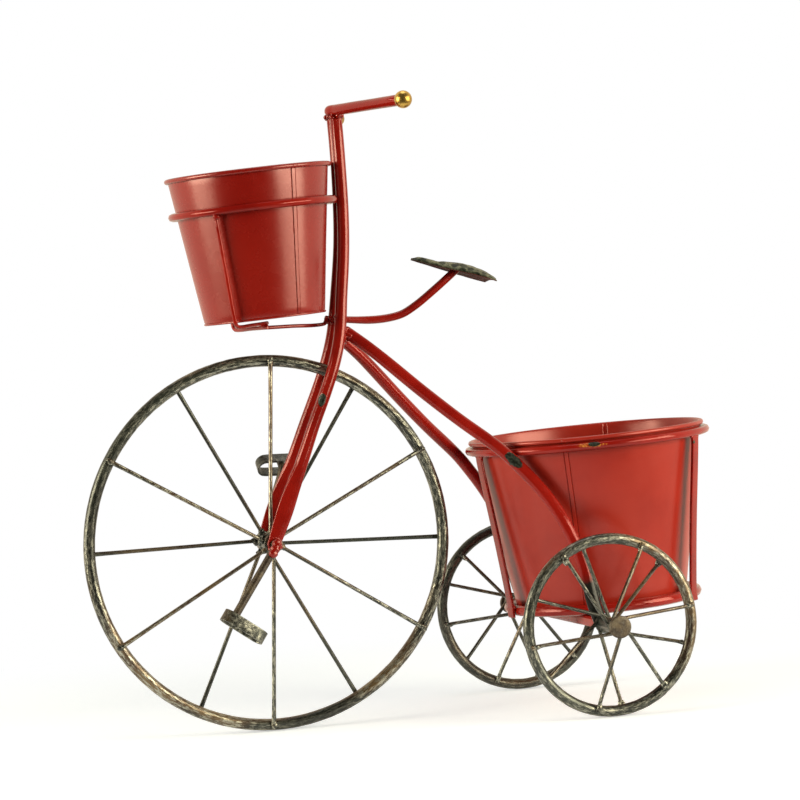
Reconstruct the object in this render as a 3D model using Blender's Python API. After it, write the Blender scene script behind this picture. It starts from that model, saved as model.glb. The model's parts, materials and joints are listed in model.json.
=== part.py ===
# Decorative metal tricycle planter with a small pot before the fork and a large pot in a rear basket.
# Metres, +Z up. The front points to -X and the left side to -Y. The floor is at z = 0.
import math

import bmesh
import bpy
from mathutils import Matrix, Vector

# Fit
GAP = 0.0003
MERGE = 0.000001
OVERRUN = 0.004

# Front wheel
FRONT_WHEEL_RADIUS = 0.1858
FRONT_RIM_TUBE_RADIUS = 0.0059
FRONT_HUB_RADIUS = 0.009
FRONT_HUB_LENGTH = 0.038
FRONT_HUB_CHAMFER = 0.001
FRONT_AXLE_RADIUS = 0.004
FRONT_SPOKE_RADIUS = 0.002
FRONT_SPOKE_INSET = 0.0055
FRONT_SPOKE_OFFSET = 0.0016
FRONT_LEFT_SPOKE_DEGREES = (86.5, 27.0, -32.5, -92.5, -150.0, 149.5)
FRONT_RIGHT_SPOKE_DEGREES = (117.5, 56.5, -2.5, -62.5, -116.0, 179.5)
SPOKE_FLAT_LENGTH = 0.009
SPOKE_FLAT_SHARE = 0.72
SPOKE_SPREAD_SHARE = 1.25

# Cranks and pedals
CRANK_RADIUS = 0.004
CRANK_STANDOFF = 0.0015
CRANK_BEND_RADIUS = 0.006
CRANK_LENGTH = 0.075
CRANK_SPLAY = 0.006
CRANK_END_LENGTH = 0.014
PEDAL_LENGTH = 0.049
PEDAL_DEPTH = 0.020
PEDAL_WIDTH = 0.012
PEDAL_STRIP = 0.002
PEDAL_OVERHANG = 0.0035
LEFT_PEDAL_OFFSET = 0.0118
RIGHT_PEDAL_OFFSET = 0.0
# Side, crank angle, and the turn and outward tilt of the bent end that carries the pedal
LEFT_CRANK = (-1, -126.0, 0.0, 7.0)
RIGHT_CRANK = (1, 67.5, 21.0, 50.0)

# Fork and handlebar
FORK_TUBE_RADIUS = 0.006
FORK_TOP_FORWARD = 0.093
FORK_RIM_CLEARANCE = 0.0008
BLADE_THICKNESS = 0.005
BLADE_WIDTH = 0.017
BLADE_REACH = 0.008
BRIDGE_RADIUS = 0.0035
BRIDGE_HEIGHT_SHARE = 0.5137
HANDLEBAR_TUBE_RADIUS = 0.00565
HANDLEBAR_ABOVE_RING = 0.0929
HANDLEBAR_LEAD = 0.0037
HANDLEBAR_HALF_SPAN = 0.123
HANDLEBAR_SWEEP = 0.0396
GRIP_BALL_RADIUS = 0.0086
COPE_SHARE = 0.5

# Front pot and its carrier
FRONT_POT_TOP_RADIUS = 0.0799
FRONT_POT_BOTTOM_RADIUS = 0.0596
FRONT_POT_HEIGHT = 0.1472
FRONT_POT_SHEET = 0.0014
FRONT_POT_BEAD_RADIUS = 0.0024
FRONT_POT_FOOT_BEAD = 0.0011
FRONT_POT_FLOOR_RAISE = 0.004
FRONT_POT_SEAM_DEGREES = (-70.0, 110.0)
FRONT_RING_ROD_RADIUS = 0.0039
FRONT_RING_BELOW_RIM = 0.0377
FRONT_TILT_DEGREES = 3.5
FRONT_WIRE_RADIUS = 0.002
FRONT_WIRE_STANDOFF = 0.005
FRONT_WIRE_POT_CLEARANCE = 0.0021
FRONT_WIRE_WHEEL_CLEARANCE = 0.0265
FRONT_LEFT_WIRE_DEGREES = -131.0
FRONT_RIGHT_WIRE_DEGREES = 107.0
WIRE_MEETING_SHARES = (-0.08, -0.15)
WIRE_END_LENGTH = 0.006

# Seat
SEAT_POST_RADIUS = 0.004
SEAT_POST_REACH = 0.1195
SEAT_POST_RISE = 0.0405
SADDLE_LENGTH = 0.0815
SADDLE_WIDTH = 0.048
SADDLE_HEIGHT = 0.012
SADDLE_NOSE_RISE_SHARE = 1.33
SADDLE_NOSE_SHARE = 0.5215
SADDLE_BODY_SHARE = 0.33
SADDLE_DROOP_SHARE = 0.52

# Rear wheels
REAR_WHEEL_RADIUS = 0.0895
REAR_RIM_TUBE_RADIUS = 0.0055
WHEEL_SPACE = 0.0262
REAR_HUB_RADIUS = 0.007
REAR_HUB_LENGTH = 0.050
REAR_HUB_COLLAR_RADIUS = 0.0092
REAR_HUB_COLLAR_LENGTH = 0.0055
REAR_HUB_COLLAR_INSET = 0.0042
REAR_AXLE_RADIUS = 0.0037
REAR_SPOKE_RADIUS = 0.0019
REAR_SPOKE_OFFSET = 0.0065
REAR_CAP_RADIUS = 0.011
REAR_CAP_THICKNESS = 0.004
REAR_CAP_SOCKET = 0.0022
LEFT_OUTER_SPOKE_DEGREES = (123.3, 65.3, 9.3, -51.7, -103.7, -169.7)
LEFT_INNER_SPOKE_DEGREES = (157.3, 105.3, 44.3, -17.7, -83.7, -143.7)
RIGHT_OUTER_SPOKE_DEGREES = (159.5, -137.5, -75.0, -15.0, 45.0, 103.0)
RIGHT_INNER_SPOKE_DEGREES = (136.5, -170.0, -111.0, -46.0, 16.0, 76.0)

# Rear pot and basket
REAR_POT_TOP_RADIUS = 0.1168
REAR_POT_BOTTOM_RADIUS = 0.0852
REAR_POT_HEIGHT = 0.178
REAR_POT_SHEET = 0.0014
REAR_POT_BEAD_RADIUS = 0.0024
REAR_POT_FOOT_BEAD = 0.0011
REAR_POT_FLOOR_RAISE = 0.004
REAR_POT_SEAM_DEGREES = (-120.0, 60.0)
SEAM_WIDTH = 0.0046
SEAM_STEP = 0.0006
REAR_TILT_DEGREES = 2.5
BASKET_BEHIND_AXLE = 0.0446
POT_RING_CLEARANCE = 0.0015
UPPER_HOOP_ROD_RADIUS = 0.004
UPPER_HOOP_BELOW_RIM = 0.010
LOWER_HOOP_TUBE_RADIUS = 0.00535
LOWER_HOOP_CLEARANCE = 0.0038
UPRIGHT_WIDTH = 0.0125
UPRIGHT_THICKNESS = 0.003
UPRIGHT_FOOT_LENGTH = 0.012
UPRIGHT_DEGREES = {"front": 186.0, "left": -47.0, "right": 47.0}
CROSS_TUBE_SIZE = 0.010
CROSS_TUBE_OVERHANG = 0.0109

# Frame tubes
FRAME_TUBE_RADIUS = 0.0062
FRAME_END_THICKNESS = 0.005
FRAME_END_WIDTH = 0.0145
FRAME_END_REACH = 0.009
LEFT_FRAME_START_DROP = 0.0125
RIGHT_FRAME_START_DROP = 0.0175
RIGHT_FRAME_SAG_SHARE = 0.022
FRAME_START_SHARE = 0.68
FRAME_PINCH_SHARE = 0.5
# Run, sideways and height shares of the long tube from the fork to the axle.
FRAME_PATH_SHARES = (
    (0.0, 0.0, 1.0),
    (0.112, 0.112, 0.931),
    (0.289, 0.289, 0.806),
    (0.475, 0.475, 0.682),
    (0.624, 0.624, 0.59),
    (0.7, 0.7, 0.53),
    (0.785, 0.79, 0.452),
    (0.848, 0.86, 0.377),
    (0.9, 0.925, 0.29),
    (0.945, 0.975, 0.178),
    (0.967, 1.0, 0.075),
    (1.0, 1.0, 0.0),
)
# Forward, height, spread and blade shares of a fork tube from its top to the axle.
FORK_PATH_SHARES = (
    (1.0, 1.0, 0.0, 0.0),
    (1.015, 0.863, 0.02, 0.0),
    (1.0, 0.7, 0.18, 0.0),
    (0.93, 0.566, 0.42, 0.0),
    (0.875, 0.477, 0.76, 0.0),
    (0.75, 0.3855, 1.0, 0.03),
    (0.525, 0.272, 1.0, 0.24),
    (0.355, 0.181, 1.0, 0.5),
    (0.27, 0.14, 1.0, 0.68),
    (0.14, 0.074, 1.0, 0.96),
    (0.0, 0.0, 1.0, 1.0),
)
# Along, drop, width and height shares of the domed saddle from nose to tail.
SADDLE_SHARES = (
    (0.0, 0.0, 0.15, 0.2),
    (0.097, 0.04, 0.27, 0.5),
    (0.286, 0.42, 0.42, 0.55),
    (0.465, 0.675, 0.58, 0.78),
    (0.632, 0.91, 0.8, 0.99),
    (0.797, 1.275, 0.97, 0.95),
    (0.912, 1.625, 1.0, 0.77),
    (1.0, 1.97, 0.86, 0.53),
)
# Reach and rise shares of the seat post from the bridge to the saddle.
SEAT_POST_SHARES = (
    (0.0, 0.0),
    (0.265, -0.054),
    (0.504, 0.017),
    (0.625, 0.188),
    (0.75, 0.435),
    (1.0, 1.0),
    (1.06, 1.15),
)

# Facets
RING_STEPS = 40
RIM_STEPS = 64
REAR_RIM_STEPS = 44
SIDES = 12
RIM_SIDES = 10
ROD_SIDES = 8
POT_STEPS = 40
CURVE_STEPS = 2

# Sizes that follow from the ones above
FRONT_TILT = math.radians(FRONT_TILT_DEGREES)
REAR_TILT = math.radians(REAR_TILT_DEGREES)
WHEEL_BASE = FRONT_WHEEL_RADIUS + REAR_WHEEL_RADIUS + WHEEL_SPACE
FRONT_RIM_MAJOR = FRONT_WHEEL_RADIUS - FRONT_RIM_TUBE_RADIUS
REAR_RIM_MAJOR = REAR_WHEEL_RADIUS - REAR_RIM_TUBE_RADIUS
FRONT_POT_RISE = FRONT_POT_HEIGHT - FRONT_RING_BELOW_RIM
REAR_HOOP_RISE = REAR_POT_HEIGHT - UPPER_HOOP_BELOW_RIM


def wall_radius(bottom, top, height, at):
    return bottom + (top - bottom) * at / height


FRONT_RING_RADIUS = (
    wall_radius(FRONT_POT_BOTTOM_RADIUS, FRONT_POT_TOP_RADIUS, FRONT_POT_HEIGHT, FRONT_POT_RISE)
    + POT_RING_CLEARANCE
    + FRONT_RING_ROD_RADIUS
)
UPPER_HOOP_RADIUS = (
    wall_radius(REAR_POT_BOTTOM_RADIUS, REAR_POT_TOP_RADIUS, REAR_POT_HEIGHT, REAR_HOOP_RISE)
    + POT_RING_CLEARANCE
    + UPPER_HOOP_ROD_RADIUS
)
LOWER_HOOP_RADIUS = (
    REAR_POT_BOTTOM_RADIUS + REAR_POT_FOOT_BEAD + LOWER_HOOP_CLEARANCE + LOWER_HOOP_TUBE_RADIUS
)


# A loose pot leans forward until it touches the flats of its faceted ring.
def pot_lean(ring_radius):
    return POT_RING_CLEARANCE - GAP - ring_radius * (1 - math.cos(math.pi / RING_STEPS))


# Under the front pot the right wire lies lowest and the left one crosses over its end.
FRONT_WIRE_LEVEL_STEP = 2 * FRONT_WIRE_RADIUS + GAP
FRONT_WIRE_DROP = FRONT_WIRE_POT_CLEARANCE + FRONT_WIRE_RADIUS + FRONT_WIRE_LEVEL_STEP
FRONT_RING_Z = (
    2 * FRONT_WHEEL_RADIUS + FRONT_WIRE_WHEEL_CLEARANCE + FRONT_WIRE_DROP + FRONT_POT_RISE
)
HANDLEBAR_Z = FRONT_RING_Z + HANDLEBAR_ABOVE_RING
FORK_TOP_Z = HANDLEBAR_Z - HANDLEBAR_TUBE_RADIUS * COPE_SHARE

FORK_CLOSED_HALF = FORK_TUBE_RADIUS + GAP / 2
FORK_SPREAD_HALF = (
    FRONT_RIM_TUBE_RADIUS + GAP + 2 * FRONT_SPOKE_RADIUS + FORK_RIM_CLEARANCE + FORK_TUBE_RADIUS
)
BLADE_HALF = FRONT_HUB_LENGTH / 2 + GAP + BLADE_THICKNESS / 2
CRANK_START = BLADE_HALF + BLADE_THICKNESS / 2 + CRANK_STANDOFF

CROSS_TUBE_HALF = LOWER_HOOP_RADIUS + LOWER_HOOP_TUBE_RADIUS + CROSS_TUBE_OVERHANG
FRAME_END_HALF = CROSS_TUBE_HALF + GAP + FRAME_END_THICKNESS / 2
TRACK_HALF = FRAME_END_HALF + FRAME_END_THICKNESS / 2 + GAP + REAR_HUB_LENGTH / 2
AXLE_HALF = TRACK_HALF + REAR_HUB_LENGTH / 2 + GAP + REAR_CAP_SOCKET
CROSS_TUBE_WALL = CROSS_TUBE_SIZE / 2 - REAR_AXLE_RADIUS - GAP
BASKET_X = WHEEL_BASE + BASKET_BEHIND_AXLE
BASKET_Z = (
    REAR_WHEEL_RADIUS
    + CROSS_TUBE_SIZE / 2
    + GAP
    + (BASKET_BEHIND_AXLE + CROSS_TUBE_SIZE / 2) * math.tan(REAR_TILT)
)


# Scene and materials
def clear_scene():
    for existing in list(bpy.data.objects):
        bpy.data.objects.remove(existing, do_unlink=True)


def paint(name, colour, roughness, metallic):
    material = bpy.data.materials.new(name)
    material.use_nodes = True
    shader = material.node_tree.nodes["Principled BSDF"]
    shader.inputs["Base Color"].default_value = (*colour, 1.0)
    shader.inputs["Roughness"].default_value = roughness
    shader.inputs["Metallic"].default_value = metallic
    return material


clear_scene()
RED_FRAME = paint("red_frame_paint", (0.42, 0.022, 0.018), 0.35, 0.0)
RED_POT = paint("red_pot_paint", (0.50, 0.045, 0.026), 0.4, 0.0)
BLACK_WHEEL = paint("worn_black_steel", (0.035, 0.035, 0.03), 0.45, 0.6)
BRONZE = paint("bronzed_steel", (0.10, 0.065, 0.045), 0.5, 0.7)
BRASS = paint("brass", (0.56, 0.38, 0.14), 0.3, 1.0)
SADDLE_FINISH = paint("hammered_dark_metal", (0.03, 0.035, 0.025), 0.5, 0.5)


def place(obj, parent, material, location=(0.0, 0.0, 0.0)):
    obj.location = location
    obj.parent = parent
    obj.data.materials.append(material)
    return obj


def pivot(name, location, parent=None, tilt=0.0):
    empty = bpy.data.objects.new(name, None)
    bpy.context.collection.objects.link(empty)
    empty.location = location
    empty.rotation_euler = (0.0, -tilt, 0.0)
    empty.parent = parent
    return empty


def mesh_object(name, bm):
    bmesh.ops.recalc_face_normals(bm, faces=bm.faces)
    mesh = bpy.data.meshes.new(name)
    bm.to_mesh(mesh)
    bm.free()
    mesh.shade_smooth()
    mesh.set_sharp_from_angle(angle=math.radians(40.0))
    obj = bpy.data.objects.new(name, mesh)
    bpy.context.collection.objects.link(obj)
    return obj


def as_cutter(obj):
    obj.hide_render = True
    obj.display_type = "WIRE"
    return obj


def cut(obj, cutter, operation="DIFFERENCE"):
    modifier = obj.modifiers.new("cut", "BOOLEAN")
    modifier.operation = operation
    modifier.solver = "EXACT"
    modifier.object = cutter


# Shape makers
def smooth_path(points, steps=CURVE_STEPS):
    """A smooth line through the points, with knots spaced so that it never overshoots."""
    ends = [points[0] * 2 - points[1], *points, points[-1] * 2 - points[-2]]
    path = []
    for group in zip(ends, ends[1:], ends[2:], ends[3:]):
        knots = [0.0]
        for first, second in zip(group, group[1:]):
            knots.append(knots[-1] + math.sqrt((second - first).length))
        for step in range(steps):
            at = knots[1] + (knots[2] - knots[1]) * step / steps
            level = list(group)
            for reach in (1, 2):
                level = [
                    level[i].lerp(level[i + 1], (at - knots[i]) / (knots[i + reach] - knots[i]))
                    for i in range(len(level) - 1)
                ]
            share = (at - knots[1]) / (knots[2] - knots[1])
            path.append(level[0].lerp(level[1], share))
    path.append(points[-1].copy())
    return path


def mix(first, second, share):
    return first + (second - first) * share


def along_list(values, steps=CURVE_STEPS):
    spread = []
    for first, second in zip(values, values[1:]):
        for step in range(steps):
            spread.append(mix(first, second, step / steps))
    spread.append(values[-1])
    return spread


def loft(
    name, path, across, half_across, half_up, sides=SIDES, squareness=2.0, closed=False,
    droop=None, facing=None,
):
    """A solid bar along a path, with its own half width, half height and edge droop."""
    bm = bmesh.new()
    count = len(path)
    rings = []
    for index, point in enumerate(path):
        if closed:
            tangent = path[(index + 1) % count] - path[index - 1]
        else:
            tangent = path[min(index + 1, count - 1)] - path[max(index - 1, 0)]
        tangent = facing.copy() if facing else tangent.normalized()
        wanted = across[index] if isinstance(across, list) else across
        side = (wanted - tangent * wanted.dot(tangent)).normalized()
        up = tangent.cross(side)
        wide = half_across[index] if isinstance(half_across, list) else half_across
        high = half_up[index] if isinstance(half_up, list) else half_up
        ring = []
        for corner in range(sides):
            angle = 2 * math.pi * (corner + 0.5) / sides
            cosine = math.cos(angle)
            sine = math.sin(angle)
            sideways = math.copysign(abs(cosine) ** (2 / squareness), cosine) * wide
            upward = math.copysign(abs(sine) ** (2 / squareness), sine) * high
            if droop:
                upward -= droop[index] * (sideways / wide) ** 2
            ring.append(bm.verts.new(point + side * sideways + up * upward))
        rings.append(ring)
    pairs = list(zip(rings, rings[1:]))
    if closed:
        pairs.append((rings[-1], rings[0]))
    for ring, following in pairs:
        for corner in range(sides):
            after = (corner + 1) % sides
            bm.faces.new((ring[corner], ring[after], following[after], following[corner]))
    if not closed:
        bm.faces.new(rings[0])
        bm.faces.new(rings[-1])
    return mesh_object(name, bm)


def tube(name, path, radius, across=Vector((0.0, 1.0, 0.0)), sides=ROD_SIDES):
    return loft(name, path, across, radius, radius, sides)


def spun(name, profile, steps, closed=False, axis_y=False):
    """A turned solid from (radius, along) points, about Z or about Y."""
    bm = bmesh.new()
    verts = [bm.verts.new((radius, 0.0, along)) for radius, along in profile]
    edges = [bm.edges.new(pair) for pair in zip(verts, verts[1:])]
    if closed:
        edges.append(bm.edges.new((verts[-1], verts[0])))
    bmesh.ops.spin(
        bm, geom=verts + edges, cent=(0.0, 0.0, 0.0), axis=(0.0, 0.0, 1.0),
        angle=2 * math.pi, steps=steps, use_merge=True,
    )
    bmesh.ops.remove_doubles(bm, verts=bm.verts, dist=MERGE)
    if axis_y:
        bmesh.ops.rotate(bm, verts=bm.verts, matrix=Matrix.Rotation(math.pi / 2, 3, "X"))
    return mesh_object(name, bm)


def circle_profile(major, minor, sides):
    return [
        (
            major + minor * math.cos(2 * math.pi * corner / sides),
            minor * math.sin(2 * math.pi * corner / sides),
        )
        for corner in range(sides)
    ]


def rod(name, half_length, radius, steps=SIDES, chamfer=None):
    edge = radius / 6 if chamfer is None else chamfer
    profile = [
        (0.0, -half_length),
        (radius - edge, -half_length),
        (radius, edge - half_length),
        (radius, half_length - edge),
        (radius - edge, half_length),
        (0.0, half_length),
    ]
    return spun(name, profile, steps, axis_y=True)


def solve(value, low, high):
    """The place between low and high where a rising value crosses zero."""
    for _ in range(60):
        middle = (low + high) / 2
        if value(middle) < 0:
            low = middle
        else:
            high = middle
    return (low + high) / 2


def ring_distance(points, centre, tilt, radius):
    """The least distance between a line of points and a tilted circle."""
    turn = Matrix.Rotation(tilt, 3, "Y")
    least = None
    for first, second in zip(points, points[1:]):
        for step in range(8):
            local = turn @ (first.lerp(second, step / 8) - centre)
            distance = math.hypot(math.hypot(local.x, local.y) - radius, local.z)
            least = distance if least is None else min(least, distance)
    return least


def wall_distance(points, origin, tilt, bottom, top, height):
    """The least distance between a line of points and the outside of a tilted, tapered wall."""
    turn = Matrix.Rotation(tilt, 3, "Y")
    slant = math.cos(math.atan((top - bottom) / height))
    least = None
    for first, second in zip(points, points[1:]):
        for step in range(8):
            local = turn @ (first.lerp(second, step / 8) - origin)
            if 0.0 <= local.z <= height:
                outside = math.hypot(local.x, local.y) - wall_radius(bottom, top, height, local.z)
                distance = outside * slant
                least = distance if least is None else min(least, distance)
    return least


# Fork centre lines
def fork_points(side):
    points = []
    for forward, height, spread, blade in FORK_PATH_SHARES:
        half = mix(FORK_CLOSED_HALF, FORK_SPREAD_HALF, spread)
        half = mix(half, BLADE_HALF, blade)
        height_z = mix(FRONT_WHEEL_RADIUS, FORK_TOP_Z, height)
        points.append(Vector((FORK_TOP_FORWARD * forward, side * half, height_z)))
    heading = (points[-1] - points[-2]).normalized()
    points.append(points[-1] + Vector((heading.x, 0.0, heading.z)) * BLADE_REACH)
    return points


FORK_LINE = smooth_path(fork_points(1))


def fork_at(height_z):
    for upper, lower in zip(FORK_LINE, FORK_LINE[1:]):
        if upper.z >= height_z >= lower.z:
            return upper.lerp(lower, (upper.z - height_z) / (upper.z - lower.z))
    return FORK_LINE[0].copy()


BRIDGE_Z = mix(FRONT_WHEEL_RADIUS, FORK_TOP_Z, BRIDGE_HEIGHT_SHARE)
BRIDGE_POINT = fork_at(BRIDGE_Z)


# The ring stands as far forward as it must to touch the fronts of the fork tubes.
def ring_room(forward):
    centre = Vector((FORK_TOP_FORWARD - forward, 0.0, FRONT_RING_Z))
    reach = FORK_TUBE_RADIUS + FRONT_RING_ROD_RADIUS + GAP
    return ring_distance(FORK_LINE, centre, FRONT_TILT, FRONT_RING_RADIUS) - reach


FRONT_RING_X = FORK_TOP_FORWARD - solve(ring_room, FRONT_RING_RADIUS, 2 * FRONT_RING_RADIUS)


# Long tube centre lines. The left one is bowed sideways so that it touches the outside of the
# upper hoop, and the right one sags and passes the hoop.
FRAME_END = Vector((WHEEL_BASE, FRAME_END_HALF, REAR_WHEEL_RADIUS))
UPPER_HOOP_CENTRE = Vector((
    BASKET_X - REAR_HOOP_RISE * math.sin(REAR_TILT),
    0.0,
    BASKET_Z + REAR_HOOP_RISE * math.cos(REAR_TILT),
))


def frame_start(drop):
    beside = fork_at(BRIDGE_Z - drop)
    forward = beside.x + FORK_TUBE_RADIUS * 1.2
    return Vector((forward, beside.y * FRAME_START_SHARE, beside.z))


def swell_share(sideways):
    return math.sin(math.pi * sideways) * sideways


def frame_points(start, bow, sag=0.0):
    points = []
    for run, sideways, height in FRAME_PATH_SHARES:
        swell = bow * swell_share(sideways)
        lowered = height - sag * math.sin(math.pi * height) ** 2
        points.append(Vector((
            mix(start.x, FRAME_END.x, run),
            mix(start.y, FRAME_END.y, sideways) + swell,
            mix(FRAME_END.z, start.z, lowered),
        )))
    return points


# The search starts from a tube that crosses the hoop and moves outwards. A tube that passes under
# the hoop moves out until it is clear of the pot.
def frame_bow(start):
    reach = FRAME_TUBE_RADIUS + UPPER_HOOP_ROD_RADIUS + GAP

    def room(bow):
        line = smooth_path(frame_points(start, bow))
        return ring_distance(line, UPPER_HOOP_CENTRE, REAR_TILT, UPPER_HOOP_RADIUS) - reach

    def pot_room(bow):
        line = smooth_path(frame_points(start, bow))
        beside_wall = wall_distance(
            line, Vector((BASKET_X, 0.0, BASKET_Z)), REAR_TILT,
            REAR_POT_BOTTOM_RADIUS, REAR_POT_TOP_RADIUS, REAR_POT_HEIGHT,
        )
        return min(beside_wall - FRAME_TUBE_RADIUS - SEAM_STEP - GAP, room(bow))

    straight = smooth_path(frame_points(start, 0.0))
    beside = min(straight, key=lambda point: abs(point.z - UPPER_HOOP_CENTRE.z))
    run = beside.x - UPPER_HOOP_CENTRE.x
    wanted = math.sqrt(max(UPPER_HOOP_RADIUS ** 2 - run ** 2, 0.0))
    share = swell_share((beside.y - start.y) / (FRAME_END.y - start.y))
    least = (wanted - beside.y) / share
    most = 2 * UPPER_HOOP_RADIUS / share
    bow = 0.0 if room(least) > 0 else solve(room, least, least + most)
    if pot_room(bow) < -GAP:
        bow = solve(pot_room, bow, bow + most)
    return bow


# The origin is under the middle of the whole length, on the floor.
REAR_END = UPPER_HOOP_CENTRE.x + (UPPER_HOOP_RADIUS + UPPER_HOOP_ROD_RADIUS) * math.cos(REAR_TILT)
MIDDLE_X = (REAR_END - FRONT_WHEEL_RADIUS) / 2
ROOT = pivot("tricycle_root", (-MIDDLE_X, 0.0, 0.0))


# Fork
def fork_tube(name, side, grow=0.0):
    path = smooth_path(fork_points(side))
    flat = along_list([0.0] * 7 + [0.12, 0.55, 1.0, 1.0, 1.0])
    narrow = along_list([1.0] * 10 + [0.8, 0.42])
    half_across = [mix(FORK_TUBE_RADIUS, BLADE_THICKNESS / 2, share) + grow for share in flat]
    half_up = [
        mix(FORK_TUBE_RADIUS, BLADE_WIDTH / 2, share) * slim + grow
        for share, slim in zip(flat, narrow)
    ]
    return loft(name, path, Vector((0.0, 1.0, 0.0)), half_across, half_up)


def handlebar_points():
    direction = Vector((HANDLEBAR_SWEEP, HANDLEBAR_HALF_SPAN, 0.0)).normalized()
    face = math.sqrt(GRIP_BALL_RADIUS ** 2 - HANDLEBAR_TUBE_RADIUS ** 2)
    centre = Vector((FORK_TOP_FORWARD - HANDLEBAR_LEAD, 0.0, HANDLEBAR_Z))
    ball = centre + Vector((HANDLEBAR_SWEEP, HANDLEBAR_HALF_SPAN, 0.0))
    end = ball - direction * (face + GAP)
    right = [centre + (end - centre) * share for share in (0.08, 0.2, 0.5, 1.0)]
    right[0].x += HANDLEBAR_TUBE_RADIUS * 0.1
    left = [Vector((point.x, -point.y, point.z)) for point in reversed(right)]
    return left + [centre] + right, ball, direction, face


BAR_POINTS, BALL_CENTRE, BAR_DIRECTION, BALL_FACE = handlebar_points()
UP = Vector((0.0, 0.0, 1.0))
BAR_PATH = smooth_path(BAR_POINTS)
handlebar = place(tube("handlebar", BAR_PATH, HANDLEBAR_TUBE_RADIUS, UP, SIDES), ROOT, RED_FRAME)
bar_cutter = as_cutter(
    place(tube("handlebar_cutter", BAR_PATH, HANDLEBAR_TUBE_RADIUS + GAP, UP, SIDES), ROOT, RED_FRAME)
)

AXLE_CUTTER_RADIUS = FRONT_AXLE_RADIUS + GAP
front_axle_cutter = as_cutter(rod("front_axle_cutter", 2 * BLADE_HALF, AXLE_CUTTER_RADIUS))
place(front_axle_cutter, ROOT, RED_FRAME, (0.0, 0.0, FRONT_WHEEL_RADIUS))

fork_cutters = {}
for side_name, side in (("left", -1), ("right", 1)):
    fork = place(fork_tube("fork_tube_" + side_name, side), ROOT, RED_FRAME)
    cut(fork, bar_cutter)
    cut(fork, front_axle_cutter)
    cutter = place(fork_tube("fork_cutter_" + side_name, side, GAP), ROOT, RED_FRAME)
    fork_cutters[side] = as_cutter(cutter)

BRIDGE_HALF = BRIDGE_POINT.y - FORK_TUBE_RADIUS - GAP
bridge = rod("fork_bridge", BRIDGE_HALF, BRIDGE_RADIUS)
place(bridge, ROOT, RED_FRAME, (BRIDGE_POINT.x, 0.0, BRIDGE_Z))


# Brass balls, each with a flat where the bar meets it
def grip_ball(name):
    turn = math.asin(BALL_FACE / GRIP_BALL_RADIUS)
    profile = [(0.0, -GRIP_BALL_RADIUS * math.sin(turn))]
    for step in range(9):
        angle = mix(-turn, math.pi / 2, step / 8)
        radius = GRIP_BALL_RADIUS * math.cos(angle) if step < 8 else 0.0
        profile.append((radius, GRIP_BALL_RADIUS * math.sin(angle)))
    return spun(name, profile, 16)


for side_name, side in (("left", -1), ("right", 1)):
    ball = place(grip_ball("grip_ball_" + side_name), ROOT, BRASS)
    ball.location = (BALL_CENTRE.x, side * BALL_CENTRE.y, BALL_CENTRE.z)
    outward = Vector((BAR_DIRECTION.x, side * BAR_DIRECTION.y, 0.0))
    ball.rotation_mode = "QUATERNION"
    ball.rotation_quaternion = UP.rotation_difference(outward)


# Seat post and saddle
POST_START = Vector((BRIDGE_POINT.x + BRIDGE_RADIUS + GAP, 0.0, BRIDGE_Z))
post_points = [
    POST_START + Vector((SEAT_POST_REACH * reach, 0.0, SEAT_POST_RISE * rise))
    for reach, rise in SEAT_POST_SHARES
]
SADDLE_NOSE = POST_START + Vector((
    SEAT_POST_REACH - SADDLE_LENGTH * SADDLE_NOSE_SHARE,
    0.0,
    SEAT_POST_RISE + SADDLE_HEIGHT * SADDLE_NOSE_RISE_SHARE,
))


def saddle_solid(name, grow=0.0):
    points = []
    wide = []
    high = []
    droop = []
    for along, drop, width, height in SADDLE_SHARES:
        place_along = Vector((SADDLE_LENGTH * along, 0.0, -SADDLE_HEIGHT * drop))
        points.append(SADDLE_NOSE + place_along)
        wide.append(SADDLE_WIDTH / 2 * width + grow)
        high.append(SADDLE_HEIGHT * SADDLE_BODY_SHARE * height + grow)
        droop.append(SADDLE_HEIGHT * SADDLE_DROOP_SHARE * height)
    return loft(
        name, smooth_path(points), Vector((0.0, 1.0, 0.0)), along_list(wide), along_list(high),
        16, 2.4, droop=along_list(droop), facing=Vector((1.0, 0.0, 0.0)),
    )


place(saddle_solid("saddle"), ROOT, SADDLE_FINISH)
saddle_cutter = as_cutter(place(saddle_solid("saddle_cutter", GAP), ROOT, SADDLE_FINISH))
post_path = smooth_path(post_points)
post_pinch = along_list([0.8] + [1.0] * 6)
seat_post = loft(
    "seat_post",
    post_path,
    Vector((0.0, 1.0, 0.0)),
    [SEAT_POST_RADIUS / share for share in post_pinch],
    [SEAT_POST_RADIUS * share for share in post_pinch],
    10,
)
place(seat_post, ROOT, RED_FRAME)
cut(seat_post, saddle_cutter)


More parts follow.
